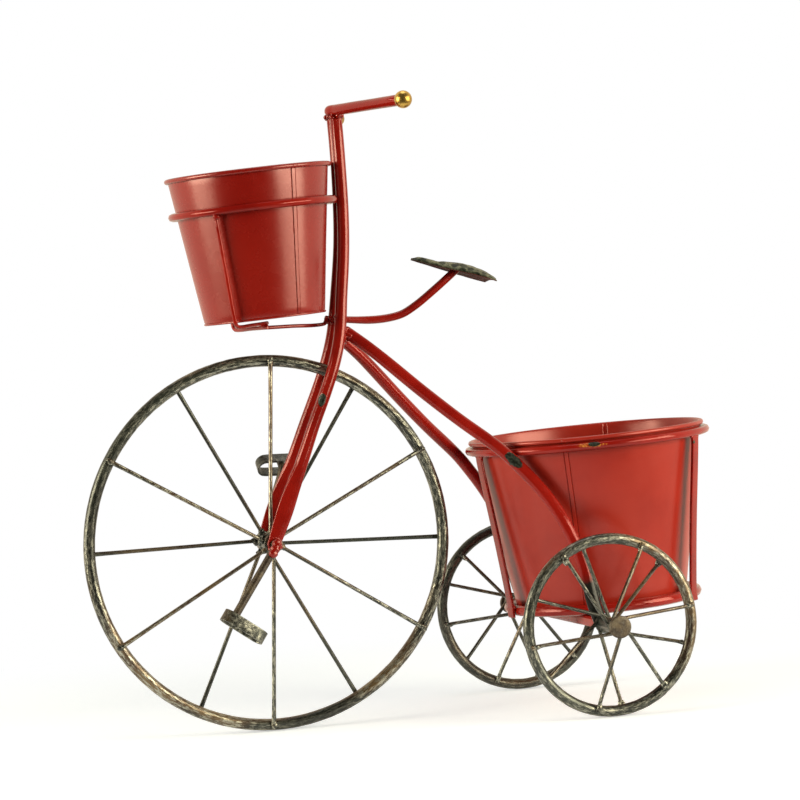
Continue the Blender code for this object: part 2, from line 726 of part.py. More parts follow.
# Sheet metal pots with a rolled rim, a foot bead, a raised floor and two lap seams
def pot(name, bottom, top, height, sheet, bead, foot, floor_raise, seams):
    def outside(at):
        return wall_radius(bottom, top, height, at)

    centre = outside(height) - sheet / 2
    bead_height = height - bead
    neck = height - 2 * bead
    profile = [
        (0.0, floor_raise, False),
        (bottom - sheet, floor_raise, False),
        (bottom - sheet, 0.0, False),
        (bottom + foot * 0.6, 0.0, False),
        (bottom + foot, foot, False),
        (bottom + foot, 2 * foot, False),
        (outside(3 * foot), 3 * foot, True),
        (outside(neck), neck, True),
        (centre + bead * 0.87, bead_height - bead * 0.5, False),
        (centre + bead * 0.87, bead_height + bead * 0.5, False),
        (centre, height, False),
        (centre - bead * 0.6, bead_height + bead * 0.5, False),
        (outside(neck) - sheet, neck, True),
        (outside(floor_raise) - sheet, floor_raise + sheet, True),
        (0.0, floor_raise + sheet, False),
    ]
    turns = [2 * math.pi * step / POT_STEPS for step in range(POT_STEPS)]
    half_seam = SEAM_WIDTH / 2 / top
    raised = []
    for degrees in seams:
        middle = math.radians(degrees) % (2 * math.pi)
        turns = [t for t in turns if abs(t - middle) > 3 * half_seam]
        for shift in (-1.25, -0.75, 0.75, 1.25):
            turns.append(middle + shift * half_seam)
            if abs(shift) < 1:
                raised.append(middle + shift * half_seam)
    turns.sort()
    bm = bmesh.new()
    columns = []
    for turn in turns:
        column = []
        for radius, at, seamed in profile:
            lifted = radius + (SEAM_STEP if seamed and turn in raised else 0.0)
            if radius == 0.0:
                column.append(None)
                continue
            column.append(bm.verts.new((lifted * math.cos(turn), lifted * math.sin(turn), at)))
        columns.append(column)
    under = bm.verts.new((0.0, 0.0, profile[0][1]))
    over = bm.verts.new((0.0, 0.0, profile[-1][1]))
    last = len(profile) - 1
    for index, column in enumerate(columns):
        following = columns[(index + 1) % len(columns)]
        bm.faces.new((under, column[1], following[1]))
        for row in range(1, last - 1):
            bm.faces.new((column[row], following[row], following[row + 1], column[row + 1]))
        bm.faces.new((over, following[last - 1], column[last - 1]))
    return mesh_object(name, bm)


front_carrier = pivot("front_carrier", (FRONT_RING_X, 0.0, FRONT_RING_Z), ROOT, FRONT_TILT)
ring_profile = circle_profile(FRONT_RING_RADIUS, FRONT_RING_ROD_RADIUS, ROD_SIDES)
place(spun("front_pot_ring", ring_profile, RING_STEPS, closed=True), front_carrier, RED_FRAME)
front_pot_axis = pivot("front_pot_axis", (-pot_lean(FRONT_RING_RADIUS), 0.0, -FRONT_POT_RISE), front_carrier)
front_pot = pot(
    "front_pot", FRONT_POT_BOTTOM_RADIUS, FRONT_POT_TOP_RADIUS, FRONT_POT_HEIGHT, FRONT_POT_SHEET,
    FRONT_POT_BEAD_RADIUS, FRONT_POT_FOOT_BEAD, FRONT_POT_FLOOR_RAISE, FRONT_POT_SEAM_DEGREES,
)
place(front_pot, front_pot_axis, RED_POT)


# Wires from the ring down and under the front pot, in the carrier's own frame
def polar(radius, degrees, height):
    angle = math.radians(degrees)
    return Vector((radius * math.cos(angle), radius * math.sin(angle), height))


WIRE_LOW = -FRONT_POT_RISE - FRONT_WIRE_DROP
WIRE_HIGH = WIRE_LOW + FRONT_WIRE_LEVEL_STEP
WIRE_FOOT_RADIUS = FRONT_POT_BOTTOM_RADIUS + FRONT_POT_FOOT_BEAD + FRONT_WIRE_STANDOFF
MEETING = Vector((
    FRONT_POT_BOTTOM_RADIUS * WIRE_MEETING_SHARES[0],
    FRONT_POT_BOTTOM_RADIUS * WIRE_MEETING_SHARES[1],
    WIRE_LOW,
))


def carrier_wire(name, degrees, level, corner_level):
    top = polar(FRONT_RING_RADIUS, degrees, -FRONT_RING_ROD_RADIUS - GAP)
    corner = polar(WIRE_FOOT_RADIUS, degrees, corner_level)
    meeting = Vector((MEETING.x, MEETING.y, level))
    inward = (meeting - corner).normalized()
    upward = (top - corner).normalized()
    bend = 3 * FRONT_WIRE_RADIUS
    points = [
        top,
        top.lerp(corner, 0.5),
        corner + upward * bend,
        corner + (inward + upward) * bend * 0.28,
        corner + inward * bend,
        corner.lerp(meeting, 0.5),
        meeting,
        meeting + inward * WIRE_END_LENGTH,
    ]
    across = Vector((-math.sin(math.radians(degrees)), math.cos(math.radians(degrees)), 0.0))
    return tube(name, smooth_path(points), FRONT_WIRE_RADIUS, across)


left_wire = carrier_wire("front_wire_left", FRONT_LEFT_WIRE_DEGREES, WIRE_HIGH, WIRE_HIGH)
right_wire = carrier_wire("front_wire_right", FRONT_RIGHT_WIRE_DEGREES, WIRE_LOW, WIRE_LOW)
place(left_wire, front_carrier, RED_FRAME)
place(right_wire, front_carrier, RED_FRAME)


# The stay starts beside the right wire and turns up against the front of the right fork tube.
def stay_path():
    into = Matrix.Rotation(FRONT_TILT, 3, "Y")
    centre = Vector((FRONT_RING_X, 0.0, FRONT_RING_Z))
    meeting = into.inverted() @ MEETING + centre
    hold = fork_at(meeting.z)
    reach = FORK_TUBE_RADIUS + FRONT_WIRE_RADIUS + GAP
    low = Vector((hold.x - reach - FRONT_WIRE_RADIUS, hold.y, meeting.z))
    along = (low - meeting).normalized()
    start = meeting + along * (FRONT_WIRE_RADIUS * 1.2 + GAP)
    upper = fork_at(meeting.z + 3 * FRONT_WIRE_RADIUS)
    top = Vector((upper.x - reach, upper.y, upper.z))
    bend = Vector((hold.x - reach, hold.y, meeting.z + FRONT_WIRE_RADIUS))
    return [start, start.lerp(low, 0.5), low, bend, top]


stay_sideways = Vector((0.0, 1.0, 0.0))
stay = tube("front_pot_stay", smooth_path(stay_path()), FRONT_WIRE_RADIUS, stay_sideways)
place(stay, ROOT, RED_FRAME)

# Rear basket
basket = pivot("rear_basket", (BASKET_X, 0.0, BASKET_Z), ROOT, REAR_TILT)
upper_profile = circle_profile(UPPER_HOOP_RADIUS, UPPER_HOOP_ROD_RADIUS, ROD_SIDES)
lower_profile = circle_profile(LOWER_HOOP_RADIUS, LOWER_HOOP_TUBE_RADIUS, ROD_SIDES)
upper_hoop = spun("rear_upper_hoop", upper_profile, RING_STEPS, closed=True)
place(upper_hoop, basket, RED_FRAME, (0.0, 0.0, REAR_HOOP_RISE))
lower_hoop = spun("rear_lower_hoop", lower_profile, RING_STEPS, closed=True)
place(lower_hoop, basket, RED_FRAME, (0.0, 0.0, LOWER_HOOP_TUBE_RADIUS))
rear_pot_axis = pivot("rear_pot_axis", (-pot_lean(UPPER_HOOP_RADIUS), 0.0, 0.0), basket)
rear_pot = pot(
    "rear_pot", REAR_POT_BOTTOM_RADIUS, REAR_POT_TOP_RADIUS, REAR_POT_HEIGHT, REAR_POT_SHEET,
    REAR_POT_BEAD_RADIUS, REAR_POT_FOOT_BEAD, REAR_POT_FLOOR_RAISE, REAR_POT_SEAM_DEGREES,
)
place(rear_pot, rear_pot_axis, RED_POT)


def upright(name, degrees):
    foot_radius = LOWER_HOOP_RADIUS + LOWER_HOOP_TUBE_RADIUS + GAP + UPRIGHT_THICKNESS / 2
    middle = LOWER_HOOP_TUBE_RADIUS
    head = REAR_HOOP_RISE - UPPER_HOOP_ROD_RADIUS - GAP
    points = [
        polar(foot_radius, degrees, middle - UPRIGHT_FOOT_LENGTH / 2),
        polar(foot_radius, degrees, middle),
        polar(foot_radius, degrees, middle + UPRIGHT_FOOT_LENGTH / 2),
        polar(mix(foot_radius, UPPER_HOOP_RADIUS, 0.5), degrees, mix(middle, head, 0.54)),
        polar(UPPER_HOOP_RADIUS, degrees, head - UPRIGHT_FOOT_LENGTH / 2),
        polar(UPPER_HOOP_RADIUS, degrees, head),
    ]
    across = polar(1.0, degrees + 90.0, 0.0)
    return loft(
        name, smooth_path(points), across, UPRIGHT_WIDTH / 2, UPRIGHT_THICKNESS / 2, ROD_SIDES, 8.0
    )


for side_name, degrees in UPRIGHT_DEGREES.items():
    place(upright("rear_upright_" + side_name, degrees), basket, RED_FRAME)


def square_bar(name, half_length, half_size):
    bm = bmesh.new()
    bmesh.ops.create_cube(bm, size=2.0)
    bmesh.ops.scale(bm, verts=bm.verts, vec=(half_size, half_length, half_size))
    return mesh_object(name, bm)


cross_tube = square_bar("rear_cross_tube", CROSS_TUBE_HALF, CROSS_TUBE_SIZE / 2)
place(cross_tube, ROOT, RED_FRAME, (WHEEL_BASE, 0.0, REAR_WHEEL_RADIUS))
bore_half = CROSS_TUBE_SIZE / 2 - CROSS_TUBE_WALL
cross_bore = square_bar("cross_tube_bore", CROSS_TUBE_HALF + OVERRUN, bore_half)
place(as_cutter(cross_bore), ROOT, RED_FRAME, (WHEEL_BASE, 0.0, REAR_WHEEL_RADIUS))
cut(cross_tube, cross_bore)


# Long tubes
def frame_tube(name, side, start, bow, sag):
    points = [Vector((p.x, side * p.y, p.z)) for p in frame_points(start, bow, sag)]
    heading = points[-1] - points[-2]
    points.append(points[-1] + heading.normalized() * FRAME_END_REACH)
    path = smooth_path(points)
    plan = Vector((FRAME_END.x - start.x, side * (FRAME_END.y - start.y), 0.0))
    normal = Vector((-plan.y, plan.x, 0.0)).normalized()
    turned = Vector((0.0, 1.0, 0.0))
    turning = along_list([0.0] * 7 + [0.1, 0.35, 0.75, 1.0, 1.0, 1.0])
    across = [normal.lerp(turned, share) for share in turning]
    flat = along_list([0.0] * 9 + [0.25, 0.9, 1.0, 1.0])
    narrow = along_list([1.0] * 11 + [0.95, 0.5])
    pinch = along_list([1.0, 0.3] + [0.0] * 11)
    pinched = start.y * FRAME_PINCH_SHARE
    half_across = []
    half_up = []
    for flatness, slim, squeeze in zip(flat, narrow, pinch):
        wide = mix(FRAME_TUBE_RADIUS, pinched, squeeze)
        half_across.append(mix(wide, FRAME_END_THICKNESS / 2, flatness))
        half_up.append(mix(FRAME_TUBE_RADIUS, FRAME_END_WIDTH / 2, flatness) * slim)
    return loft(name, path, across, half_across, half_up)


rear_axle_cutter = rod("rear_axle_cutter", AXLE_HALF + OVERRUN, REAR_AXLE_RADIUS + GAP)
place(as_cutter(rear_axle_cutter), ROOT, RED_FRAME, (WHEEL_BASE, 0.0, REAR_WHEEL_RADIUS))
left_start = frame_start(LEFT_FRAME_START_DROP)
right_start = frame_start(RIGHT_FRAME_START_DROP)
for side_name, side, start, bow, sag in (
    ("left", -1, left_start, frame_bow(left_start), 0.0),
    ("right", 1, right_start, 0.0, RIGHT_FRAME_SAG_SHARE),
):
    long_tube = frame_tube("frame_tube_" + side_name, side, start, bow, sag)
    place(long_tube, ROOT, RED_FRAME)
    cut(long_tube, fork_cutters[side])
    cut(long_tube, rear_axle_cutter)

rear_axle = rod("rear_axle", AXLE_HALF, REAR_AXLE_RADIUS)
place(rear_axle, ROOT, BRONZE, (WHEEL_BASE, 0.0, REAR_WHEEL_RADIUS))


# Rear caps, each with a blind socket for the axle end
def cap(name, side):
    edge = REAR_CAP_THICKNESS / 5
    socket = REAR_AXLE_RADIUS + GAP
    profile = [
        (0.0, REAR_CAP_SOCKET + GAP),
        (socket, REAR_CAP_SOCKET + GAP),
        (socket, 0.0),
        (REAR_CAP_RADIUS - edge, 0.0),
        (REAR_CAP_RADIUS, edge),
        (REAR_CAP_RADIUS, REAR_CAP_THICKNESS - edge),
        (REAR_CAP_RADIUS - edge, REAR_CAP_THICKNESS),
        (0.0, REAR_CAP_THICKNESS),
    ]
    disc = spun(name, [(radius, -side * at) for radius, at in profile], 20, axis_y=True)
    inner = TRACK_HALF + REAR_HUB_LENGTH / 2 + GAP
    return place(disc, ROOT, BRONZE, (WHEEL_BASE, side * inner, REAR_WHEEL_RADIUS))


cap("rear_cap_left", -1)
cap("rear_cap_right", 1)


# Wheels
def wheel_rim(name, major, minor, steps, sides):
    return spun(name, circle_profile(major, minor, sides), steps, closed=True, axis_y=True)


def spoke(name, degrees, side, sense, start, offset, root_y, rim_major, rim_minor, radius, sides):
    """A dished rod from the hub whose flattened tip lies against the side of the rim."""
    angle = math.radians(degrees)
    outward = Vector((math.cos(angle), 0.0, math.sin(angle)))
    around = Vector((-math.sin(angle), 0.0, math.cos(angle))) * sense
    flat_half = radius * SPOKE_FLAT_SHARE
    tip_y = side * (rim_minor + GAP + flat_half)
    knee_y = side * (rim_minor + GAP + radius)
    tip = outward * (rim_major + rim_minor * 0.3) + Vector((0.0, tip_y, 0.0))
    knee = outward * (rim_major - SPOKE_FLAT_LENGTH) + Vector((0.0, knee_y, 0.0))
    mid_tip = outward * (rim_major - SPOKE_FLAT_LENGTH * 0.35) + Vector((0.0, tip_y, 0.0))
    root = outward * start + around * offset + Vector((0.0, side * root_y, 0.0))
    path = [root, root.lerp(knee, 0.9), knee, mid_tip, tip]
    half_across = [radius, radius, radius, flat_half, flat_half]
    spread = radius * SPOKE_SPREAD_SHARE
    half_up = [radius, radius, radius, spread, spread]
    return loft(name, path, Vector((0.0, 1.0, 0.0)), half_across, half_up, sides)


front_wheel = pivot("front_wheel_axis", (0.0, 0.0, FRONT_WHEEL_RADIUS), ROOT)
front_rim = wheel_rim("front_rim", FRONT_RIM_MAJOR, FRONT_RIM_TUBE_RADIUS, RIM_STEPS, RIM_SIDES)
place(front_rim, front_wheel, BLACK_WHEEL)


def hub_profile(half, outer, bore, chamfer):
    return [
        (bore, -half),
        (outer - chamfer, -half),
        (outer, chamfer - half),
        (outer, half - chamfer),
        (outer - chamfer, half),
        (bore, half),
    ]


front_hub_profile = hub_profile(
    FRONT_HUB_LENGTH / 2, FRONT_HUB_RADIUS, FRONT_AXLE_RADIUS + GAP, FRONT_HUB_CHAMFER
)
front_hub = spun("front_hub", front_hub_profile, 20, closed=True, axis_y=True)
place(front_hub, front_wheel, BLACK_WHEEL)
place(rod("front_axle", CRANK_START, FRONT_AXLE_RADIUS), front_wheel, BRONZE)

number = 0
for side, sense, angles in (
    (-1, 1, FRONT_LEFT_SPOKE_DEGREES),
    (1, -1, FRONT_RIGHT_SPOKE_DEGREES),
):
    for degrees in angles:
        number += 1
        piece = spoke(
            "front_spoke_%02d" % number, degrees, side, sense, FRONT_HUB_RADIUS + GAP,
            FRONT_SPOKE_OFFSET, FRONT_HUB_LENGTH / 2 - FRONT_SPOKE_INSET, FRONT_RIM_MAJOR,
            FRONT_RIM_TUBE_RADIUS, FRONT_SPOKE_RADIUS, ROD_SIDES,
        )
        place(piece, front_wheel, BLACK_WHEEL)


# Cranks bend off the axle ends, and their bent ends pass into the oval pedal bands.
def radial(degrees):
    angle = math.radians(degrees)
    return Vector((math.cos(angle), 0.0, math.sin(angle)))


def crank_and_pedal(side_name, setting, offset):
    side, degrees, turn, tilt = setting
    outward = radial(degrees)
    aside = Vector((0.0, side, 0.0))
    first = CRANK_START + GAP
    start = first + CRANK_STANDOFF
    points = [aside * first, aside * start]
    for step in range(1, 4):
        bend = math.pi / 2 * step / 3
        points.append(
            outward * CRANK_BEND_RADIUS * (1 - math.cos(bend))
            + aside * (start + CRANK_BEND_RADIUS * math.sin(bend))
        )
    bent = points[-1]
    knee = outward * CRANK_LENGTH + aside * (start + CRANK_BEND_RADIUS + CRANK_SPLAY)
    lean = math.radians(tilt)
    axis = radial(degrees + turn) * math.cos(lean) + aside * math.sin(lean)
    end = knee + axis * CRANK_END_LENGTH
    path = points + [bent.lerp(knee, 0.3), bent.lerp(knee, 0.85)]
    path += [knee + axis * CRANK_RADIUS / 2, end]
    arm = loft(
        "crank_" + side_name, path, outward.cross(aside), CRANK_RADIUS, CRANK_RADIUS, 10
    )
    place(arm, front_wheel, BRONZE)

    long_way = radial(degrees + turn + 90.0)
    out_way = axis.cross(long_way)
    out_way = out_way * math.copysign(1.0, out_way.y * side)
    inner_half = PEDAL_DEPTH / 2 - PEDAL_STRIP
    centre = end - axis * (PEDAL_WIDTH / 2 - PEDAL_OVERHANG) + long_way * offset
    centre = centre + out_way * (inner_half - CRANK_RADIUS - GAP)
    round_half = (PEDAL_DEPTH - PEDAL_STRIP) / 2
    straight_half = (PEDAL_LENGTH - PEDAL_STRIP) / 2 - round_half
    loop = []
    for end_side in (1, -1):
        for step in range(7):
            sweep = math.pi * (step / 6 - 0.5)
            loop.append(
                centre
                + long_way * end_side * (straight_half + round_half * math.cos(sweep))
                + out_way * end_side * round_half * math.sin(sweep)
            )
    band = loft(
        "pedal_" + side_name, loop, axis, PEDAL_WIDTH / 2, PEDAL_STRIP / 2, ROD_SIDES, 6.0,
        closed=True,
    )
    place(band, front_wheel, BLACK_WHEEL)


crank_and_pedal("left", LEFT_CRANK, LEFT_PEDAL_OFFSET)
crank_and_pedal("right", RIGHT_CRANK, RIGHT_PEDAL_OFFSET)


# Rear hubs, each joined with its twelve spokes
def rear_hub(side_name, side, outer_angles, inner_angles, parent):
    half = REAR_HUB_LENGTH / 2
    near = half - REAR_HUB_COLLAR_INSET
    far = near - REAR_HUB_COLLAR_LENGTH
    bore = REAR_AXLE_RADIUS + GAP
    edge = (REAR_HUB_COLLAR_RADIUS - REAR_HUB_RADIUS) / 2
    profile = [(bore, -half), (REAR_HUB_RADIUS, -half)]
    for low, high in ((-near, -far), (far, near)):
        profile += [
            (REAR_HUB_RADIUS, low),
            (REAR_HUB_COLLAR_RADIUS, low + edge),
            (REAR_HUB_COLLAR_RADIUS, high - edge),
            (REAR_HUB_RADIUS, high),
        ]
    profile += [(REAR_HUB_RADIUS, half), (bore, half)]
    hub = spun("rear_hub_" + side_name, profile, 20, closed=True, axis_y=True)
    place(hub, parent, BLACK_WHEEL)
    group = bpy.data.collections.new("rear_spokes_" + side_name)
    bpy.context.scene.collection.children.link(group)
    root_y = (near + far) / 2
    for which, lie, sense, angles in (
        ("outer", side, 1, outer_angles),
        ("inner", -side, -1, inner_angles),
    ):
        for index, degrees in enumerate(angles):
            piece = spoke(
                "rear_spoke_%s_%s_%d" % (side_name, which, index + 1), degrees, lie,
                -side * sense, 0.0, REAR_SPOKE_OFFSET, root_y, REAR_RIM_MAJOR,
                REAR_RIM_TUBE_RADIUS, REAR_SPOKE_RADIUS, ROD_SIDES,
            )
            place(as_cutter(piece), parent, BLACK_WHEEL)
            group.objects.link(piece)
    modifier = hub.modifiers.new("spokes", "BOOLEAN")
    modifier.operation = "UNION"
    modifier.solver = "EXACT"
    modifier.operand_type = "COLLECTION"
    modifier.collection = group


for side_name, side, outer_angles, inner_angles in (
    ("left", -1, LEFT_OUTER_SPOKE_DEGREES, LEFT_INNER_SPOKE_DEGREES),
    ("right", 1, RIGHT_OUTER_SPOKE_DEGREES, RIGHT_INNER_SPOKE_DEGREES),
):
    centre = (WHEEL_BASE, side * TRACK_HALF, REAR_WHEEL_RADIUS)
    wheel = pivot("rear_wheel_axis_" + side_name, centre, ROOT)
    rim = wheel_rim(
        "rear_rim_" + side_name, REAR_RIM_MAJOR, REAR_RIM_TUBE_RADIUS, REAR_RIM_STEPS, ROD_SIDES
    )
    place(rim, wheel, BLACK_WHEEL)
    rear_hub(side_name, side, outer_angles, inner_angles, wheel)
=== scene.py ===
"""The looks of a red metal tricycle that carries two flower pots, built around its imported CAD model.

Places and sizes are in metres and angles in degrees where a name says so. Noise scales are counts
per metre, and colours are linear.
"""
import json
import math

import bmesh
import bpy
from mathutils import Matrix, Vector, noise

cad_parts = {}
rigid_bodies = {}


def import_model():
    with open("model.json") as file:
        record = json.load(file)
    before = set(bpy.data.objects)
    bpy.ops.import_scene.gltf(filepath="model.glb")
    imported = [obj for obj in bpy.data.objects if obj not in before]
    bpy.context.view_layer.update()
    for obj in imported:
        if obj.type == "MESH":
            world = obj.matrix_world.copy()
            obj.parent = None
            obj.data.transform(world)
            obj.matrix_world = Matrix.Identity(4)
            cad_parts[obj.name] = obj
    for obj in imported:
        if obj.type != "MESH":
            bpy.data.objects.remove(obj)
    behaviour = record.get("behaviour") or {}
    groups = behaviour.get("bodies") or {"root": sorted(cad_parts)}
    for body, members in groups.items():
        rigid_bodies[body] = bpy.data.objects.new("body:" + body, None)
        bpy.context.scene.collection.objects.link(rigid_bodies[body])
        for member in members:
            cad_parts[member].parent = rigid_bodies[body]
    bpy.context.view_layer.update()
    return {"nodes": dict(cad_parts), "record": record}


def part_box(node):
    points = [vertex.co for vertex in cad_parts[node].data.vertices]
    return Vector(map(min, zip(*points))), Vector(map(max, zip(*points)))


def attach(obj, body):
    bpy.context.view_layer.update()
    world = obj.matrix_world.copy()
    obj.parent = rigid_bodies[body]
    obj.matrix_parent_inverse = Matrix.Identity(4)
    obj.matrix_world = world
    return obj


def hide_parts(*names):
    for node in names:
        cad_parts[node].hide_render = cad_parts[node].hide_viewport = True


for existing in list(bpy.data.objects):
    bpy.data.objects.remove(existing, do_unlink=True)
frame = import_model()
NODES = frame["nodes"]
BODY_OF = {
    node: body
    for body, members in frame["record"]["behaviour"]["bodies"].items()
    for node in members
}
SIDE_NAMES = (("left", -1.0), ("right", 1.0))

# Colours
WHITE = (1.0, 1.0, 1.0)
CREAM = (1.0, 0.87, 0.68)
WARM_WHITE = (1.0, 0.905, 0.66)
FLOOR_COLOUR = (0.79, 0.86, 0.96, 1.0)
DUST_SPECK = (0.10, 0.012, 0.010)
WORN_EDGE = (0.12, 0.02, 0.015)
GILT = (0.62, 0.24, 0.05)
OVERSPRAY_BLACK = (0.012, 0.013, 0.012)
CHIP_DARK = (0.006, 0.008, 0.006)
CHIP_LIGHT = (0.035, 0.045, 0.035)
STEEL_DARK = (0.010, 0.012, 0.010)
STEEL_LIGHT = (0.034, 0.040, 0.033)
RUST_DARK = (0.055, 0.027, 0.016)
RUST_LIGHT = (0.17, 0.11, 0.05)
BRUSHED_SILVER = (0.42, 0.42, 0.36)
BRASS_LIGHT = (0.62, 0.40, 0.10)
BRASS_DARK = (0.36, 0.21, 0.045)
BRASS_STAIN = (0.20, 0.12, 0.04)
SEAT_DARK = (0.012, 0.016, 0.010)
SEAT_GREEN = (0.045, 0.055, 0.034)
# Colour of the seat's upward-facing ridges: a painted highlight.
SEAT_RIDGE_HIGHLIGHT = (0.25, 0.26, 0.17)
SEAT_OVERSPRAY = (0.085, 0.010, 0.007)

# Shader values
PAINT_METALLIC = 0.1
STEEL_METALLIC = 0.45
STEEL_GLOSS = 0.8
BRASS_METALLIC = 0.9
SEAT_METALLIC = 0.5
SEAT_GLOSS = 0.35
FLOOR_ROUGHNESS = 0.7

# Patches: noise scale, noise detail, and the two ends of the soft step that cuts them out
PAINT_CLOUDS = (22.0, 4.0, 0.35, 0.7)
PAINT_WARMTH = (9.0, 2.0, 0.45, 0.75)
PAINT_SPECKS = (900.0, 1.0, 0.70, 0.76)
PAINT_WEAR = (260.0, 3.0, 0.50, 0.62)
PAINT_SHEEN = (70.0, 3.0, 0.3, 0.7)
SCUFF_GRAIN = (700.0, 3.0, 0.47, 0.58)
CHIP_FLAKES = (500.0, 3.0, 0.4, 0.65)
STEEL_CLOUDS = (45.0, 3.0, 0.4, 0.65)
RUST_CLOUDS = (110.0, 3.0, 0.35, 0.7)
BRASS_STAINS = (330.0, 3.0, 0.62, 0.75)
SEAT_CLOUDS = (60.0, 3.0, 0.35, 0.65)
SEAT_OVERSPRAY_CLOUDS = (45.0, 3.0, 0.3, 0.5)

# Unevenness: noise scale, noise detail, noise roughness, depth and strength
PEEL_FINE = (420.0, 2.0, 0.55, 0.0001, 0.5)
PEEL_WIDE = (60.0, 2.0, 0.55, 0.0006, 0.35)
STEEL_LUMPS = (190.0, 3.0, 0.6, 0.0004, 0.6)
BRASS_LUMPS = (240.0, 3.0, 0.55, 0.00025, 0.5)

# Shares and steps of the red paint
PAINT_WARMTH_MOST = 0.45
PAINT_SPECK_SHARE = 0.2
PAINT_EDGE = (0.545, 0.60)
PAINT_WEAR_SHARE = 0.55
PAINT_SMOOTHER = 0.08
PAINT_ROUGHER = 0.11
SCUFF_RAGGED = 0.5
OVERSPRAY_SCALE = 160.0
OVERSPRAY_SPREAD = 0.012
CHIP_ROUGHER = 0.15
CHIP_DEPTH = 0.0003
CHIP_STRENGTH = 0.6
SPOT_EDGE_NOISE = (300.0, 2.0)
SPOT_EDGE = (1.15, 0.85)

# Shares and steps of the brushed steel
RUST_NOISE = (15.0, 3.0, 0.6)
RUST_UPWARD = 0.07
RUST_START = 0.50
RUST_FULL = 0.60
GRAIN_SCALE = 900.0
GRAIN_START = 0.38
GRAIN_FULL = 0.56
GRAIN_SMOOTHER = 0.10
GRAIN_ROUGHER = 0.12
GRAIN_DEPTH = 0.00012
GRAIN_STRENGTH = 0.6
STROKE_SCALE = 420.0
STROKE_START = 0.46
STROKE_FULL = 0.58
BRUSHED_NOISE = (26.0, 2.0)
BRUSHED_UPWARD = 0.06
BRUSHED_STEP = (0.36, 0.58, 0.10, 1.0)
BRUSHED_SHARE = 0.85
BRUSHED_METALLIC = 0.45

# Shares and steps of the seat
SEAT_DENTS = (150.0, 0.6)
SEAT_RIDGE_STEP = (0.40, 0.62)
SEAT_RIDGE_GRAIN = (0.30, 0.55)
# The next step keeps the painted highlight on the seat's ridges to faces that look up.
SEAT_LIT_UPPER = (0.2, 0.9, 0.25, 0.8)
SEAT_BELOW = (0.05, -0.3)
SEAT_ROUGHNESS = (0.2, 0.8, 0.32, 0.56)
SEAT_BELOW_ROUGHER = 0.3


# Node helpers
class Nodes:
    """A short way to write a node tree. Its patterns are laid out by the places in self.place."""

    def __init__(self, tree, coordinates):
        self.tree = tree
        self.place = self.add("ShaderNodeTexCoord").outputs[coordinates]

    def add(self, kind, **settings):
        node = self.tree.nodes.new(kind)
        for key, value in settings.items():
            setattr(node, key, value)
        return node

    def link(self, value, socket):
        if isinstance(value, bpy.types.NodeSocket):
            self.tree.links.new(value, socket)
        else:
            socket.default_value = value

    def math(self, operation, first, second=0.0, clamp=False):
        node = self.add("ShaderNodeMath", operation=operation, use_clamp=clamp)
        self.link(first, node.inputs[0])
        self.link(second, node.inputs[1])
        return node.outputs[0]

    def vector(self, operation, first, second=None):
        node = self.add("ShaderNodeVectorMath", operation=operation)
        self.link(first, node.inputs[0])
        if second is not None:
            self.link(second, node.inputs[1])
        return node.outputs["Value" if operation in ("LENGTH", "DOT_PRODUCT") else "Vector"]

    def upward(self, vector):
        """The Z part of a place or a direction."""
        node = self.add("ShaderNodeSeparateXYZ")
        self.link(vector, node.inputs[0])
        return node.outputs["Z"]

    def ramp(self, value, low, high, low_out=0.0, high_out=1.0):
        """A soft step from one value to another."""
        node = self.add("ShaderNodeMapRange", interpolation_type="SMOOTHSTEP")
        self.link(value, node.inputs["Value"])
        node.inputs["From Min"].default_value = low
        node.inputs["From Max"].default_value = high
        node.inputs["To Min"].default_value = low_out
        node.inputs["To Max"].default_value = high_out
        return node.outputs["Result"]

    def mix(self, share, first, second):
        node = self.add("ShaderNodeMix", data_type="RGBA")
        self.link(share, node.inputs["Factor"])
        for socket, colour in ((node.inputs[6], first), (node.inputs[7], second)):
            self.link(colour if isinstance(colour, bpy.types.NodeSocket) else (*colour, 1.0), socket)
        return node.outputs[2]


